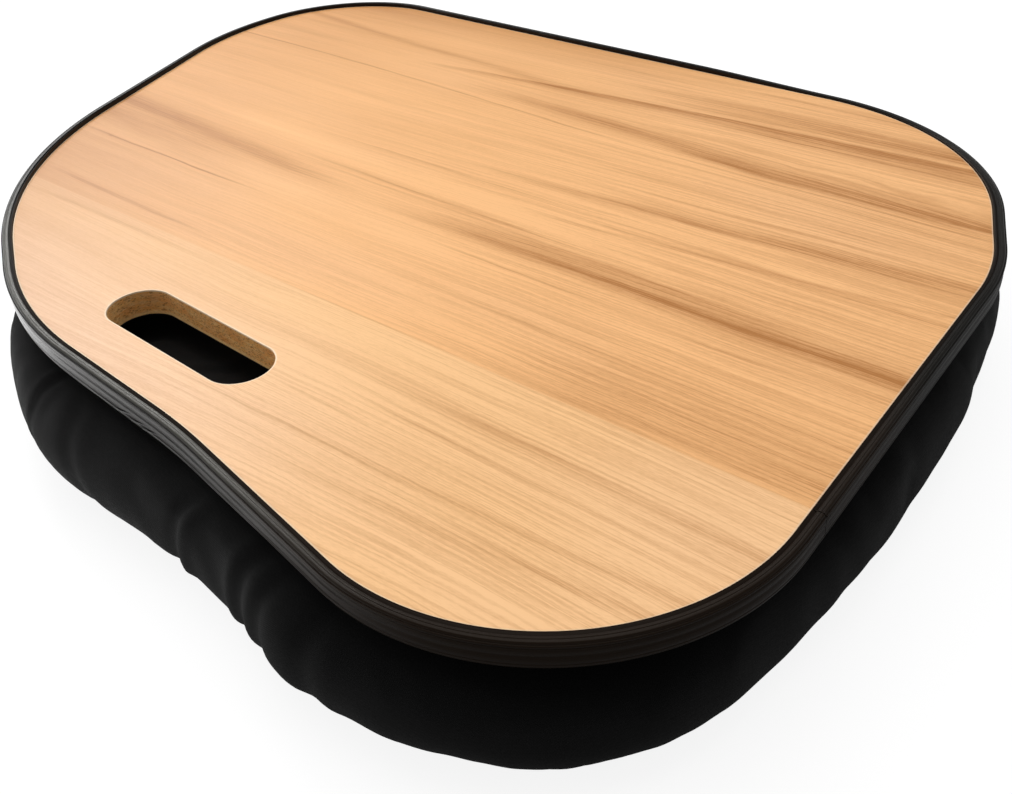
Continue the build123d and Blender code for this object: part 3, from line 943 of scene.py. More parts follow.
# ---- board ---------------------------------------------------------------------------------
@dataclass
class Outline:
    """The board's wood outline: straight runs joined by tangent arcs."""

    # Corners anticlockwise from the front right one: x, y, radius.
    corners: tuple[Place, ...] = (
        (257.7, -197.3, 80.0),
        (237.7, 66.5, 116.0),
        (188.4, 184.2, 120.5),
        (-246.5, 184.2, 69.0),
        (-251.5, 81.5, 146.0),
        (-165.0, -111.0, 223.0),
        (-34.5, -172.0, 197.0),
        (77.5, -174.6, 300.0),
    )
    joint_from_corner: float = 108.0     # front right corner to the band's butt joint
    joint_gap: float = 0.3
    joint_clear: float = 0.85            # other points stay this far from the joint's middle
    shift: Vector = field(default_factory=lambda: Vector((0.0, 0.0)))

    def __post_init__(self) -> None:
        """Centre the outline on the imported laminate."""
        low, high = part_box("top_laminate")
        points = self.points(0.0, 2.0)
        for axis in (0, 1):
            values = [point[axis] for point in points]
            middle = (low[axis] + high[axis]) / 2 / MM
            self.shift[axis] = middle - (min(values) + max(values)) / 2

    def _arc(self, index: int, grow: float) -> tuple[Vector, Vector, Vector, float, float]:
        """One corner's arc.

        Args:
            index: The corner's number.
            grow: How far the outline is moved outwards.

        Returns:
            The arc's centre, its start and end, its radius, and +1 or -1 for its turn.
        """
        count = len(self.corners)
        x, y, radius = self.corners[index]
        here = Vector((x, y))
        before = Vector(self.corners[index - 1][:2])
        after = Vector(self.corners[(index + 1) % count][:2])
        arriving = (here - before).normalized()
        leaving = (after - here).normalized()
        turn = 1.0 if arriving.cross(leaving) > 0 else -1.0
        setback = radius * math.tan(arriving.angle(leaving) / 2)
        start = here - arriving * setback
        end = here + leaving * setback
        inward = Vector((-arriving.y, arriving.x)) * turn
        centre = start + inward * radius
        grown = radius + grow * turn
        start = centre - inward * grown
        end = centre - Vector((-leaving.y, leaving.x)) * turn * grown
        return centre, start, end, grown, turn

    def points(self, grow: float, step: float) -> list[Point]:
        """Points round the outline, evenly spaced on each run and arc.

        Args:
            grow: How far the outline is moved outwards.
            step: Longest distance between points.

        Returns:
            The points anticlockwise, from the start of the first corner's arc.
        """
        arcs = [self._arc(index, grow) for index in range(len(self.corners))]
        points: list[Vector] = []
        for index, (centre, start, end, radius, turn) in enumerate(arcs):
            first = math.atan2(*(start - centre).yx)
            last = math.atan2(*(end - centre).yx)
            sweep = (last - first) * turn % (2 * math.pi) * turn
            count = max(2, math.ceil(abs(sweep) * radius / step))
            for number in range(count + 1):
                angle = first + sweep * number / count
                points.append(centre + Vector((math.cos(angle), math.sin(angle))) * radius)
            following = arcs[(index + 1) % len(arcs)][1]
            run = (following - end).length
            count = max(1, math.ceil(run / step))
            for number in range(1, count):
                points.append(end.lerp(following, number / count))
        return [(point.x + self.shift.x, point.y + self.shift.y) for point in points]

    def joint(self, grow: float) -> tuple[Vector, Vector]:
        """The band's butt joint.

        Args:
            grow: Distance outside the wood outline.

        Returns:
            Its place and the direction of the edge there.
        """
        corner = Vector(self.corners[0][:2])
        along = (Vector(self.corners[1][:2]) - corner).normalized()
        outward = Vector((along.y, -along.x))
        place = corner + along * self.joint_from_corner + outward * grow + self.shift
        return place, along

    def opened(self, grow: float, step: float) -> list[Point]:
        """The outline's points from one side of the joint's gap round to the other.

        Args:
            grow: How far the outline is moved outwards.
            step: Longest distance between points.

        Returns:
            The points, open at the joint.
        """
        place, along = self.joint(grow)
        points = [Vector(point) for point in self.points(grow, step)]
        nearest = min(range(len(points)), key=lambda n: (points[n] - place).length)
        turned = points[nearest:] + points[:nearest]
        kept = [point for point in turned if (point - place).length > self.joint_clear]
        if (kept[0] - place).dot(along) < 0:
            kept = kept[1:] + kept[:1]
        ends = place + along * self.joint_gap / 2, place - along * self.joint_gap / 2
        return [tuple(point) for point in (ends[0], *kept, ends[1])]


@dataclass
class EdgeBand:
    """Black extruded band: a lipped upper bead, a groove, and a lower bead with a fine line."""

    outline: Outline
    step: float = 2.2
    deep_place: Point = (58.0, -177.0)   # where the lower bead hangs lowest
    deep_reach: float = 62.0
    deep_share: float = 0.19
    deep_from: Point = (1.3, 9.8)        # depths below the working surface that it moves
    foot: float = 9.9                    # bottom of the hidden skirt, below the surface
    crown_place: Point = (-110.0, 90.0)  # where the upper bead stands highest
    crown_reach: Point = (170.0, 245.0)
    crown_rise: float = 1.15
    crown_from: Point = (-0.75, -0.15)   # heights over which it sets in, from the surface
    # Section outwards from the wood outline and up from the working surface.
    section: tuple[Point, ...] = (
        (0.0, -9.9), (0.0, -0.8), (0.18, -0.8), (0.24, 0.1), (0.30, 0.60), (0.42, 0.70),
        (0.78, 0.46), (0.92, 0.44), (1.30, 0.16), (1.50, 0.10), (1.66, 0.34), (1.84, 0.60),
        (2.20, 0.70), (2.70, 0.71), (2.86, 0.60), (3.02, 0.60), (3.16, 0.70), (3.62, 0.69),
        (3.90, 0.56), (4.14, 0.26), (4.28, -0.06), (4.40, -0.10), (4.50, 0.04), (4.62, 0.08),
        (4.74, -0.06), (4.80, -0.34), (4.76, -0.62), (4.60, -0.84), (4.48, -1.00),
        (4.48, -1.20), (4.64, -1.42), (4.74, -1.90), (4.74, -2.60), (4.62, -3.30),
        (4.54, -3.66), (4.60, -4.00), (4.74, -4.50), (4.82, -5.30), (4.82, -6.30),
        (4.72, -6.50), (4.72, -6.66), (4.82, -6.84), (4.78, -7.40), (4.62, -7.84),
        (4.30, -8.14), (3.70, -8.30), (1.80, -8.40), (1.50, -8.70), (1.50, -9.9),
    )

    def build(self) -> bpy.types.Object:
        """Sweep the section round the board and close its two ends.

        Returns:
            The band.
        """
        _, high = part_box("top_laminate")
        level = high[2] / MM
        profile = curve_object("band_section", [(u, w, 0.0) for u, w in self.section], True)
        profile.data.fill_mode = "NONE"
        route = [(x, y, level) for x, y in self.outline.opened(0.0, self.step)]
        band = curve_object("edge_trim", route, False)
        band.data.bevel_mode = "OBJECT"
        band.data.bevel_object = profile
        band.data.twist_mode = "Z_UP"
        band.data.use_fill_caps = True
        to_mesh(band)
        bpy.data.objects.remove(profile)
        edit(band, ("remove_doubles", {"threshold": 0.001 * MM}),
             ("normals_make_consistent", {"inside": False}))
        self._deepen(band, level)
        self._crown(band, level)
        self._map(band, route)
        smooth(band, 32.0)
        return band

    def _deepen(self, band: bpy.types.Object, level: float) -> None:
        """Let the lower bead hang a little lower along the front left.

        Args:
            band: The band.
            level: Height of the working surface.
        """
        centre = Vector(self.deep_place)
        for vertex in band.data.vertices:
            place = vertex.co / MM
            below = level - place.z
            if not self.deep_from[0] < below < self.deep_from[1]:
                continue
            reach = (place.xy - centre).length / self.deep_reach
            share = self.deep_share * math.exp(-(reach ** 4))
            vertex.co.z = (level - min(self.foot, below * (1 + share))) * MM
        band.data.update()

    def _crown(self, band: bpy.types.Object, level: float) -> None:
        """Let the upper beads stand a little prouder round the back left.

        Args:
            band: The band.
            level: Height of the working surface.
        """
        centre = Vector(self.crown_place)
        near, far = self.crown_reach
        low, high = self.crown_from
        for vertex in band.data.vertices:
            place = vertex.co / MM
            over = clamp((place.z - level - low) / (high - low))
            share = clamp((far - (place.xy - centre).length) / (far - near)) * over
            vertex.co.z += self.crown_rise * eased(share) * MM
        band.data.update()

    @staticmethod
    def _map(band: bpy.types.Object, route: list[Place]) -> None:
        """Lay a map along the band, with its run first and its height second.

        Args:
            band: The band.
            route: The points that it was swept along.
        """
        mesh = band.data
        layer = fresh_map(mesh, "along")
        tree = KDTree(len(route))
        runs = [0.0]
        for index, place in enumerate(route):
            tree.insert(Vector((place[0], place[1], 0.0)) * MM, index)
            if index:
                runs.append(runs[-1] + (Vector(place) - Vector(route[index - 1])).length)
        tree.balance()
        for loop in mesh.loops:
            place = mesh.vertices[loop.vertex_index].co
            found, index, off = tree.find(Vector((place.x, place.y, 0.0)))
            layer.data[loop.index].uv = (runs[index] * MM, place.z + off)


@dataclass
class Board:
    """The board: laminate face, core, backing, band, strips and staples."""

    outline: Outline = field(default_factory=Outline)
    face_inset: float = -0.08          # the laminate reaches under the band's lip
    eased: float = 0.14                # rounding of the laminate's edges
    eased_steps: int = 3
    edge_step: float = 1.5             # distance between points round the face
    # Over this width the laminate's border is painted paler, as a highlight on its eased edge.
    rim: float = 0.95                  # width of the paler border of the laminate
    slot_middle: Point = (32.3, -142.2)
    slot_length: float = 86.5
    slot_width: float = 24.5
    arc_steps: int = 28
    crack_out: float = 4.0             # crazing's middle: distance from the wood, and height
    crack_height: float = 55.5
    nicks: tuple[Place, ...] = ((45.0, -179.6, 53.0), (54.0, -180.6, 52.8), (61.0, -181.4, 52.6))

    def _slot(self) -> list[Point]:
        """The handle slot's outline, clockwise.

        Returns:
            Its points.
        """
        middle = Vector(self.slot_middle) + self.outline.shift
        radius = self.slot_width / 2
        half = self.slot_length / 2 - radius
        points = []
        for side in (1, -1):
            for number in range(self.arc_steps + 1):
                angle = math.pi / 2 * side - math.pi * number / self.arc_steps
                points.append((middle.x + side * half + radius * math.cos(angle),
                               middle.y + radius * math.sin(angle)))
        return points

    def _face(self) -> bpy.types.Object:
        """The laminate face as a thin plate with eased edges and the slot through it.

        Returns:
            The plate.
        """
        low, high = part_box("top_laminate")
        bottom, top = low[2] / MM, high[2] / MM
        turns = [math.pi / 2 * number / self.eased_steps for number in range(self.eased_steps + 1)]
        section = [(0.0, bottom)]
        section += [(self.eased * (1 - math.cos(turn)), top + self.eased * (math.sin(turn) - 1))
                    for turn in turns]
        section += [(self.rim, top)]
        mesh = bmesh.new()
        layer = mesh.loops.layers.uv.new("rim")
        first, last = [], []
        for points in (self.outline.points(-self.face_inset, self.edge_step), self._slot()):
            rings = self._rings(mesh, points, section)
            first += rings[0]
            last += rings[-1]
        inner = {vertex for edge in last for vertex in edge.verts}
        for edges in (first, last):
            bmesh.ops.triangle_fill(mesh, edges=edges, use_beauty=True)
        bmesh.ops.recalc_face_normals(mesh, faces=mesh.faces[:])
        for face in mesh.faces:
            for loop in face.loops:
                loop[layer].uv = (0.0 if loop.vert in inner else MM, 0.0)
        data = bpy.data.meshes.new("board_face")
        mesh.to_mesh(data)
        mesh.free()
        plate = add_object("board_face", data)
        smooth(plate, 50.0)
        return plate

    @staticmethod
    def _rings(mesh: bmesh.types.BMesh, points: list[Point],
               section: list[Point]) -> list[list[bmesh.types.BMEdge]]:
        """Loft a section round a closed line, inwards to its left.

        Args:
            mesh: The mesh that takes the faces.
            points: The line's points.
            section: Distance inwards and height of each ring.

        Returns:
            The edges of each ring.
        """
        count = len(points)
        flat = [Vector(point) for point in points]
        rings = []
        for inward, height in section:
            ring = []
            for index, point in enumerate(flat):
                along = (flat[(index + 1) % count] - flat[index - 1]).normalized()
                moved = point + Vector((-along.y, along.x)) * inward
                ring.append(mesh.verts.new(Vector((moved.x, moved.y, height)) * MM))
            rings.append(ring)
        for lower, upper in zip(rings, rings[1:]):
            for index in range(count):
                following = (index + 1) % count
                mesh.faces.new((lower[index], lower[following], upper[following], upper[index]))
        return [[mesh.edges.get((ring[index - 1], ring[index])) for index in range(count)]
                for ring in rings]

    def build(self) -> None:
        """Make and dress every piece of the board."""
        face = self._face()
        place_piece(face, Body.BOARD, "wood_laminate", WoodLaminate().build(), "top_laminate")
        joint, _ = self.outline.joint(self.crack_out)
        plastic = BandPlastic(crack_place=(joint.x, joint.y, self.crack_height),
                              nick_places=self.nicks)
        band = EdgeBand(self.outline).build()
        place_piece(band, Body.BOARD, "black_edging", plastic.build(), "edge_band")
        dress(Particleboard().build(), "board_core")
        dress(Moulding("black_laminate", srgb(38, 38, 38), 0.55, grain=0.9).build(),
              "back_laminate")
        hooks = Tape("hook_tape", Weave.HOOKS, srgb(24, 24, 24), pitch=1.5, relief=0.5)
        strips = ("back", "front", "left", "right")
        dress(hooks.build(), *[f"hook_strip_{name}" for name in strips])
        steel = Moulding("staple_steel", srgb(190, 190, 188), 0.3, metallic=1.0, grain=0.4)
        dress(steel.build(), "strip_staples")


# ---- cushion -------------------------------------------------------------------------------
@dataclass(frozen=True)
class Crease:
    """A fold pressed into the cover's wall: a valley with a ridge on one side."""

    top: Place
    foot: Place
    width: float
    depth: float
    ridge: float = 0.6           # height of the ridge as a share of the depth
    side: float = 1.0            # 1 puts the ridge to the right of a downward fold


@dataclass(frozen=True)
class Fullness:
    """A stretch of wall that stands out further, or less far, than the plain cushion."""

    place: Point
    reach: float
    push: float


@dataclass
class Cushion:
    """The zipped cushion: an inflated cover in place of the cover panels, seam bindings, liner and
    filling, with the zip and the strips.
    """

    voxel: float = 5.0
    pressure: float = 4.0
    frames: int = 20
    swell: float = 1.7                 # cloth's start outside the filling
    slack: float = 0.012               # spare cloth in the walls
    side_cap: float = 4.6              # how far the simulation may move a point
    rim: float = 14.0                  # width of the top's free edge
    rim_fade: float = 8.0              # width over which the cloth is held past that edge
    rim_height: float = 48.9
    lid_gap: float = 0.25              # cloth's top under the loop strips' own bed
    settle_rounds: int = 14
    settle_least: float = 0.35         # smoothing high up, as a share of that at the floor
    settle_height: Point = (12.0, 16.0)  # height where it starts to lessen, and the fade
    wall_tilt: float = 0.25            # walls are where the normal rises less than this
    lid_tilt: float = 0.7              # top and bottom are where it rises more than this
    held_tilt: Point = (0.72, 0.2)     # rise where the cloth starts to be held, and the fade
    slot_middle: Point = (32.6, -141.5)
    slot_half: Point = (42.0, 12.0)
    slot_rise: float = 3.2             # how far the top swells into the handle slot
    zip_x: float = -35.7
    zip_half_length: float = 129.2
    zip_slit: float = 8.4
    zip_z: float = 24.3
    zip_flat: Point = (6.0, 9.5)       # how far the flat bed goes past the zip, along X and Z
    zip_fade: Point = (22.0, 7.0)      # width over which the bed ends, along X and Z
    zip_reach: float = 14.0            # wall that is moved, measured in from its outside
    slit_depth: float = 1.9
    slit_corner: float = 1.2
    cutter: float = 10.0               # depth of the block that cuts the slit
    back_y: float = 191.73
    loose: Place = (46.0, 70.0, 0.8)   # broad unevenness: width, height, push
    ripple: Place = (15.0, 34.0, 0.3)  # fine unevenness: width, height, push
    calm: float = 0.15                 # share of the unevenness that is left near the zip
    calm_place: Point = (150.0, 12.0)  # where that is: reach along X, and in from the back
    creases: tuple[Crease, ...] = (
        Crease((-6, -179, 42), (-12, -187, 7), 2.3, 1.1, 0.7, 1.0),
        Crease((19, -186, 44), (30, -190, 6), 4.2, 0.7, 0.4, -1.0),
        Crease((90, -188, 45), (75, -193, 3), 3.0, 1.3, 0.9, -1.0),
        Crease((127, -192, 44), (119, -195, 3), 3.4, 1.2, 0.7, 1.0),
        Crease((139, -194, 40), (131, -195, 2), 3.4, 1.1, 0.5, 1.0),
        Crease((160, -196, 40), (154, -196, 2), 4.6, 1.0, 0.5, -1.0),
        Crease((252, -72, 44), (255, -66, 8), 5.0, 0.3, 0.5, 1.0),
        Crease((254, -40, 43), (256, -52, 6), 6.0, 0.25, 0.5, -1.0),
        Crease((-120, -152, 44), (-128, -150, 5), 4.5, 1.6, 0.6, 1.0),
        Crease((-190, -95, 44), (-184, -100, 5), 4.5, 1.5, 0.6, -1.0),
        Crease((-250, 40, 44), (-252, 52, 5), 4.5, 1.5, 0.6, 1.0),
        Crease((150, 191, 44), (158, 190, 5), 4.5, 1.5, 0.6, -1.0),
        Crease((-215, 184, 44), (-222, 183, 5), 4.2, 1.5, 0.6, 1.0),
        Crease((36, -128, 47), (18, -158, 47), 3.0, 2.7, 0.9, 1.0),
        Crease((58, -128, 47), (44, -158, 47), 3.4, 2.3, 0.9, -1.0),
    )

    fullness: tuple[Fullness, ...] = (
        Fullness((-102, -152), 30.0, -3.6),
        Fullness((4, -184), 30.0, 2.8),
        Fullness((82, -188), 26.0, -3.2),
        Fullness((112, -193), 14.0, -1.7),
        Fullness((148, -195), 16.0, 3.6),
        Fullness((222, -174), 38.0, 2.6),
        Fullness((255, -106), 26.0, -1.8),
        Fullness((250, -32), 34.0, 2.5),
        Fullness((246, 62), 28.0, -1.9),
        Fullness((218, 128), 34.0, 1.7),
    )

    def _inflate(self) -> bpy.types.Object:
        """Blow up a copy of the filling into the cover's cloth.

        Returns:
            The cover, before its folds.
        """
        cover = copy_of("bead_filling", "cushion_cover")
        apply_modifier(cover, "REMESH", mode="VOXEL", voxel_size=self.voxel * MM)
        apply_modifier(cover, "DISPLACE", strength=self.swell * MM, mid_level=0.0)
        start = [vertex.co.copy() for vertex in cover.data.vertices]
        self._simulate(cover)
        self._cap(cover, start)
        self._settle(cover)
        apply_modifier(cover, "SUBSURF", levels=1, render_levels=1)
        return cover

    def _settle(self, cover: bpy.types.Object) -> None:
        """Iron out the small wrinkles, most of all near the floor.

        Args:
            cover: The cover.
        """
        height, fade = self.settle_height
        group = cover.vertex_groups.new(name="settle")
        for vertex in cover.data.vertices:
            share = clamp(1.0 - (vertex.co.z / MM - height) / fade)
            share = max(self.settle_least, share)
            group.add([vertex.index], share, "REPLACE")
        apply_modifier(cover, "SMOOTH", factor=0.5, iterations=self.settle_rounds,
                       vertex_group="settle")

    def _edge_tree(self, cover: bpy.types.Object) -> KDTree:
        """Collect the points of the cover's steepest walls, laid flat.

        Args:
            cover: The cover's mesh.

        Returns:
            A tree that gives the distance to the nearest wall.
        """
        walls = [vertex.co for vertex in cover.data.vertices
                 if abs(vertex.normal.z) < self.wall_tilt]
        tree = KDTree(len(walls))
        for index, place in enumerate(walls):
            tree.insert(place.xy.to_3d(), index)
        tree.balance()
        return tree

    def _simulate(self, cover: bpy.types.Object) -> None:
        """Run the cloth with air pressure inside it, held where it is pressed flat.

        Args:
            cover: The cover's mesh.
        """
        scene = bpy.context.scene
        start, fade = self.held_tilt
        held = cover.vertex_groups.new(name="held")
        edge = self._edge_tree(cover)
        for vertex in cover.data.vertices:
            share = clamp((abs(vertex.normal.z) - start) / fade)
            if vertex.normal.z > 0:
                inward = edge.find(vertex.co.xy.to_3d())[2] / MM
                share *= clamp((inward - self.rim) / self.rim_fade)
            if share > 0:
                held.add([vertex.index], share, "REPLACE")
        modifier = cover.modifiers.new("cloth", "CLOTH")
        settings = {"quality": 6, "mass": 0.05, "tension_stiffness": 12, "compression_stiffness": 12,
                    "shear_stiffness": 4, "bending_stiffness": 0.05, "vertex_group_mass": "held",
                    "shrink_min": -self.slack, "use_pressure": True,
                    "uniform_pressure_force": self.pressure}
        for key, setting in settings.items():
            setattr(modifier.settings, key, setting)
        modifier.settings.effector_weights.gravity = 0.0
        modifier.point_cache.frame_start = 1
        modifier.point_cache.frame_end = self.frames
        for number in range(1, self.frames + 1):
            scene.frame_set(number)
        select_only(cover)
        bpy.ops.object.modifier_apply(modifier=modifier.name)
        scene.frame_set(1)

    def _cap(self, cover: bpy.types.Object, start: list[Vector]) -> None:
        """Keep the swollen cover near its start, flat on the floor and under the board.

        Args:
            cover: The swollen cover.
            start: Where each point started.
        """
        _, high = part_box("cover_top")
        tree = self._edge_tree(cover)
        for vertex, first in zip(cover.data.vertices, start):
            move = vertex.co - first
            if move.length > self.side_cap * MM:
                move *= self.side_cap * MM / move.length
            place = first + move
            inward = tree.find(first.xy.to_3d())[2] / MM
            free = 1.0 - clamp((inward - 2.0) / self.rim)
            lid = (high[2] / MM - self.lid_gap) * (1 - free) + self.rim_height * free
            place.z = max(0.0, min(lid * MM, place.z))
            vertex.co = place
        cover.data.update()

    def _hold_zip(self, cover: bpy.types.Object) -> None:
        """Keep the back wall flat where the zip is sewn in.

        Args:
            cover: The cover.
        """
        for vertex in cover.data.vertices:
            x, y, z = vertex.co / MM
            if y < self.back_y - self.zip_reach:
                continue
            past = abs(x - self.zip_x) - self.zip_half_length, abs(z - self.zip_z)
            share = 1.0
            for off, flat, fade in zip(past, self.zip_flat, self.zip_fade):
                share *= 1.0 - clamp((off - flat) / fade)
            vertex.co.y += (self.back_y * MM - vertex.co.y) * eased(share)
        cover.data.update()

    def _fold(self, cover: bpy.types.Object) -> None:
        """Press the folds and a gentle unevenness into the cover.

        Args:
            cover: The cover.
        """
        mesh = cover.data
        normals = [vertex.normal.copy() for vertex in mesh.vertices]
        for vertex, normal in zip(mesh.vertices, normals):
            place = vertex.co / MM
            side = 1.0 - min(1.0, abs(normal.z)) ** 2
            push = self._unevenness(place) * side
            for crease in self.creases:
                push += self._press(crease, place, normal)
            if normal.z > self.lid_tilt:
                push += self._bulge(place)
            for stretch in self.fullness:
                off = (place.xy - Vector(stretch.place)).length / stretch.reach
                push += stretch.push * math.exp(-off * off) * side
            vertex.co += normal * push * MM
            vertex.co.z = max(0.0, vertex.co.z)
        mesh.update()

    def _unevenness(self, place: Vector) -> float:
        """How far the cloth strays from its plain shape, less so near the zip.

        Args:
            place: The point, in millimetres.

        Returns:
            The push in millimetres.
        """
        near_x, near_y = self.calm_place
        near_zip = place.y > self.back_y - near_y and abs(place.x - self.zip_x) < near_x
        push = 0.0
        for (width, height, strength), seed in ((self.loose, 0), (self.ripple, 9)):
            spot = Vector((place.x / width + seed, place.y / width, place.z / height))
            push += noise.noise(spot) * strength
        return push * (self.calm if near_zip else 1.0)

    def _bulge(self, place: Vector) -> float:
        """How far the cushion's top rises into the handle slot.

        Args:
            place: The point, in millimetres.

        Returns:
            The rise in millimetres.
        """
        x, y = place.x - self.slot_middle[0], place.y - self.slot_middle[1]
        off = math.hypot(max(0.0, abs(x) - self.slot_half[0] + self.slot_half[1]), y)
        share = max(0.0, 1.0 - off / self.slot_half[1])
        return self.slot_rise * share * (2 - share)

    @staticmethod
    def _press(crease: Crease, place: Vector, normal: Vector) -> float:
        """How far one crease moves one point along its normal.

        Args:
            crease: The crease.
            place: The point, in millimetres.
            normal: The surface's normal there.

        Returns:
            The move in millimetres.
        """
        top = Vector(crease.top)
        line = Vector(crease.foot) - top
        share = (place - top).dot(line) / line.length_squared
        off = place - (top + line * clamp(share))
        across = line.normalized().cross(normal)
        if not -0.4 < share < 1.4 or off.length > 6 * crease.width or across.length < 0.2:
            return 0.0
        across.normalize()
        signed = off.dot(across) * crease.side
        lengthways = (off - across * off.dot(across)).length
        fade = math.exp(-(lengthways / (2.5 * crease.width)) ** 2)
        valley = math.exp(-(signed / crease.width) ** 2)
        ridge = math.exp(-((signed - 1.7 * crease.width) / crease.width) ** 2)
        return crease.depth * (crease.ridge * ridge - valley) * fade

    def _slit(self, cover: bpy.types.Object) -> None:
        """Cut the zip's slit into the back wall.

        Args:
            cover: The cover.
        """
        bpy.ops.object.select_all(action="DESELECT")
        middle = Vector((self.zip_x, self.back_y - self.slit_depth + self.cutter / 2, self.zip_z))
        bpy.ops.mesh.primitive_cube_add(size=1.0, location=middle * MM)
        cutter = bpy.context.object
        cutter.scale = Vector((2 * self.zip_half_length, self.cutter, self.zip_slit)) * MM
        bpy.ops.object.transform_apply(location=True, rotation=True, scale=True)
        apply_modifier(cutter, "BEVEL", width=self.slit_corner * MM, segments=3,
                       limit_method="NONE")
        apply_modifier(cover, "BOOLEAN", operation="DIFFERENCE", object=cutter, solver="EXACT")
        bpy.data.objects.remove(cutter)

    def _map(self, cover: bpy.types.Object) -> None:
        """Lay the weave's map: round the wall and up it, and straight over the flat faces.

        Args:
            cover: The cover.
        """
        mesh = cover.data
        layer = fresh_map(mesh, "weave")
        for polygon in mesh.polygons:
            normal = polygon.normal
            facing_x = abs(normal.x) > abs(normal.y)
            flat = abs(normal.z) >= self.lid_tilt
            first, second = (0, 1) if flat else (1 if facing_x else 0, 2)
            for index in polygon.loop_indices:
                place = mesh.vertices[mesh.loops[index].vertex_index].co
                layer.data[index].uv = (place[first], place[second])

    def build(self) -> None:
        """Make and dress every piece of the cushion."""
        cover = self._inflate()
        self._hold_zip(cover)
        self._fold(cover)
        self._slit(cover)
        self._map(cover)
        smooth(cover, 60.0)
        place_piece(cover, Body.CUSHION, "black_cloth", CoverCloth().build(),
                    "cover_top", "cover_side", "cover_bottom",
                    "upper_seam_binding", "lower_seam_binding", "liner_bag", "bead_filling")
        self._dress_zip()
        loops = Tape("loop_tape", Weave.LOOPS, srgb(22, 22, 22), pitch=0.8, relief=0.35)
        dress(loops.build(), *[f"loop_strip_{name}" for name in ("back", "front", "left", "right")])

    def _dress_zip(self) -> None:
        """Dress the zip's own pieces."""
        tape = Tape("zip_tape", Weave.HERRINGBONE, srgb(20, 20, 21), pitch=1.1, relief=0.12)
        dress(tape.build(), "zip_tape_upper", "zip_tape_lower")
        teeth = Moulding("zip_plastic", srgb(26, 26, 27), 0.35, grain=0.6)
        dress(teeth.build(), "zip_teeth_upper", "zip_teeth_lower")
        metal = Moulding("zip_metal", srgb(93, 93, 92), 0.28, metallic=1.0, grain=0.5)
        dress(metal.build(), "zip_stops", "zip_slider", "zip_puller")
        round_edges(0.22, "zip_teeth_upper", "zip_teeth_lower", "zip_stops", "zip_slider",
                    "zip_puller")


# ---- studio --------------------------------------------------------------------------------
@dataclass(frozen=True)
class Panel:
    """A bright patch of the surround, seen only in reflections."""

    facing: Place              # unit vector towards it
    width: float               # its edge, as one less the cosine
    strength: float


@dataclass(frozen=True)
class Lamp:
    """A soft square lamp; places and side in metres, power in watts."""

    name: str
    place: Place
    aim: Place
    side: float
    power: float

    def build(self) -> None:
        """Hang the lamp and point it."""
        data = bpy.data.lights.new(self.name, "AREA")
        data.size = self.side
        data.energy = self.power
        lamp = add_object(self.name, data)
        lamp.location = self.place
        view = Vector(self.aim) - Vector(self.place)
        lamp.rotation_euler = view.to_track_quat("-Z", "Y").to_euler()


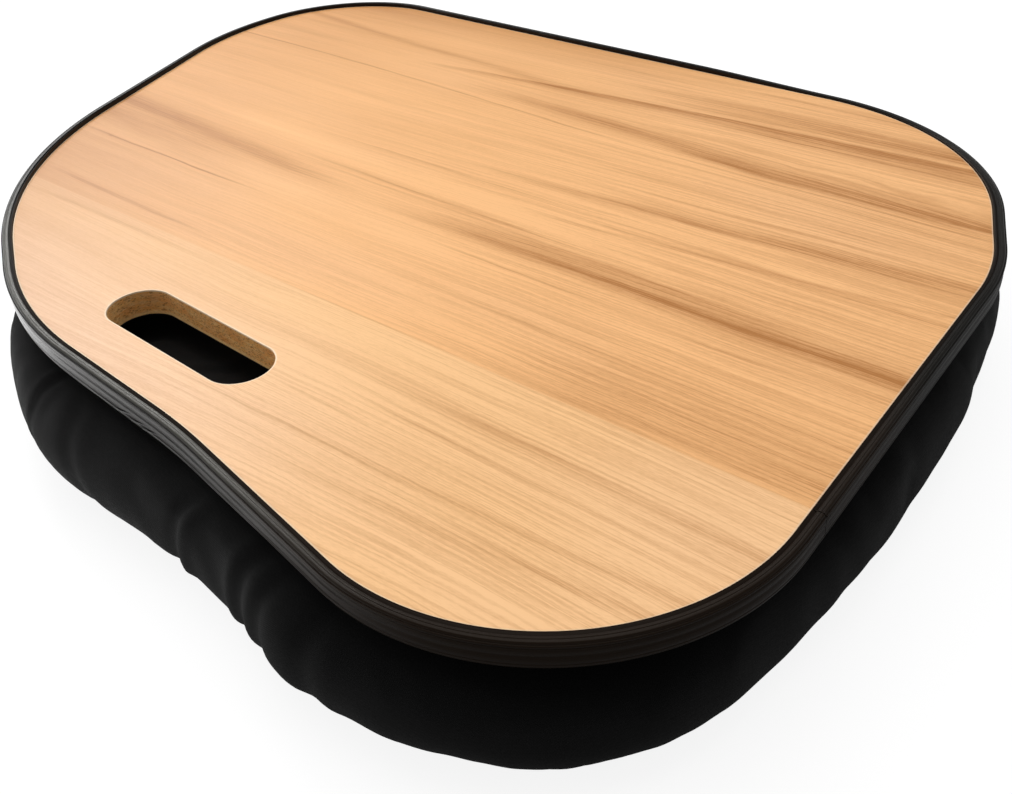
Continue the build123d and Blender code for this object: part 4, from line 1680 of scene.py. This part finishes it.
@dataclass
class Studio:
    """Camera, lamps, floor and world."""

    eye: Place = (337.8, -294.3, 256.3)
    elevation: float = 35.964
    azimuth: float = 316.014
    roll: float = 3.858
    focal: float = 1050.7              # pixels across a picture of the width below
    width: float = 1012.0
    height: float = 794.0
    principal: Point = (509.27, 396.44)
    sensor: float = 36.0
    floor_size: float = 12.0           # metres
    fill: float = 0.82                 # surround's light on matt surfaces
    dim_sky: float = 0.27              # surround's reflection well above the horizon
    glow: float = 0.875                # floor's light to the camera
    shine: Place = (2.6, 1.5, 0.10)    # its reflection at the left: strength, power, least
    shine_place: Point = (240.0, -140.0)
    paint: float = 0.5                 # floor's reflectance for light on the desk
    faint: float = 0.2                 # its reflectance as seen, for the contact shadow
    panels: tuple[Panel, ...] = (
        Panel((-0.79, 0.32, 0.52), 0.050, 3.6),
        Panel((-0.31, 0.64, 0.70), 0.028, 1.8),
    )
    lamps: tuple[Lamp, ...] = (
        Lamp("key", (-0.91, 0.24, 0.75), (0.05, -0.17, 0.06), 0.30, 3.3),
        Lamp("top", (-0.1, 0.1, 1.7), (0.0, 0.0, 0.03), 1.4, 9.5),
    )

    def _camera(self) -> None:
        """Set up the camera."""
        data = bpy.data.cameras.new("camera")
        data.sensor_width = self.sensor
        data.lens = self.focal / self.width * self.sensor
        data.shift_x = (self.width / 2 - self.principal[0]) / self.width
        data.shift_y = (self.principal[1] - self.height / 2) / self.width
        data.clip_start = 0.01
        camera = add_object("camera", data)
        up, around, tilt = (math.radians(a) for a in (self.elevation, self.azimuth, self.roll))
        forward = Vector((math.sin(around) * math.cos(up), math.cos(around) * math.cos(up),
                          -math.sin(up)))
        level = forward.cross(Vector((0, 0, 1))).normalized()
        down = forward.cross(level)
        right = level * math.cos(tilt) + down * math.sin(tilt)
        under = down * math.cos(tilt) - level * math.sin(tilt)
        turn = Matrix((right, -under, -forward)).transposed().to_4x4()
        camera.matrix_world = Matrix.Translation(Vector(self.eye) * MM) @ turn
        bpy.context.scene.camera = camera

    def _floor(self) -> None:
        """Lay the white floor, which keeps a faint contact shadow."""
        bpy.ops.object.select_all(action="DESELECT")
        bpy.ops.mesh.primitive_plane_add(size=self.floor_size)
        floor = bpy.context.object
        floor.name = "floor"
        g = Graph("floor_white")
        camera, glossy, clear = g.rays()
        seen = camera.most(glossy).most(clear)
        x, _, _ = g.place()
        strong, power, least = self.shine
        shine = x.ramp(*self.shine_place) ** power * strong + least
        strength = self.glow + glossy * (shine - self.glow)
        paint, faint = (g.node("ShaderNodeBsdfDiffuse", None, {"Color": (level, level, level)})
                        for level in (self.paint, self.faint))
        glow = g.node("ShaderNodeEmission", None, {"Color": (1.0, 1.0, 1.0), "Strength": strength})
        shown = g.node("ShaderNodeAddShader", None, {0: faint.outputs[0], 1: glow.outputs[0]})
        both = g.node("ShaderNodeMixShader", None,
                      {0: seen, 1: paint.outputs[0], 2: shown.outputs[0]})
        g.node("ShaderNodeOutputMaterial", None, {"Surface": both.outputs[0]})
        floor.data.materials.append(g.block)

    def _world(self) -> None:
        """Set a white surround whose reflection is bright at the horizon and dim above."""
        g = Graph("surround", world=True)
        camera, glossy, clear = g.rays()
        source = g.node("ShaderNodeTexCoord").outputs["Generated"]
        parts = g.node("ShaderNodeSeparateXYZ", None, {0: source}).outputs
        height = Term(g, parts[2])
        gloss = height.ramp(0.22, 0.02) * (1.0 - self.dim_sky) + self.dim_sky
        for panel in self.panels:
            ax, ay, az = panel.facing
            facing = Term(g, parts[0]) * ax + Term(g, parts[1]) * ay + height * az
            edge = facing.ramp(1.0 - panel.width, 1.0 - panel.width * 0.3)
            gloss = gloss + edge * panel.strength
        toward = Term(g, parts[1]) * 0.4 - Term(g, parts[0]) * 0.9
        soft = toward.ramp(-0.7, 0.8) * self.fill + self.fill * 0.24
        strength = soft + glossy * (gloss - soft)
        strength = strength.most(camera).most(clear)
        sockets = {"Color": (1.0, 1.0, 1.0), "Strength": strength}
        light = g.node("ShaderNodeBackground", None, sockets)
        g.node("ShaderNodeOutputWorld", None, {"Surface": light.outputs[0]})
        bpy.context.scene.world = g.block

    def build(self) -> None:
        """Set up the whole studio."""
        self._camera()
        self._floor()
        self._world()
        for lamp in self.lamps:
            lamp.build()
        bpy.context.scene.view_settings.view_transform = "Standard"
        log.info("studio ready")


def main() -> None:
    """Build the lap desk and its studio."""
    logging.basicConfig(level=logging.INFO, format="%(name)s: %(message)s")
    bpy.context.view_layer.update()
    Studio().build()
    Board().build()
    Cushion().build()


if __name__ == "__main__":
    main()
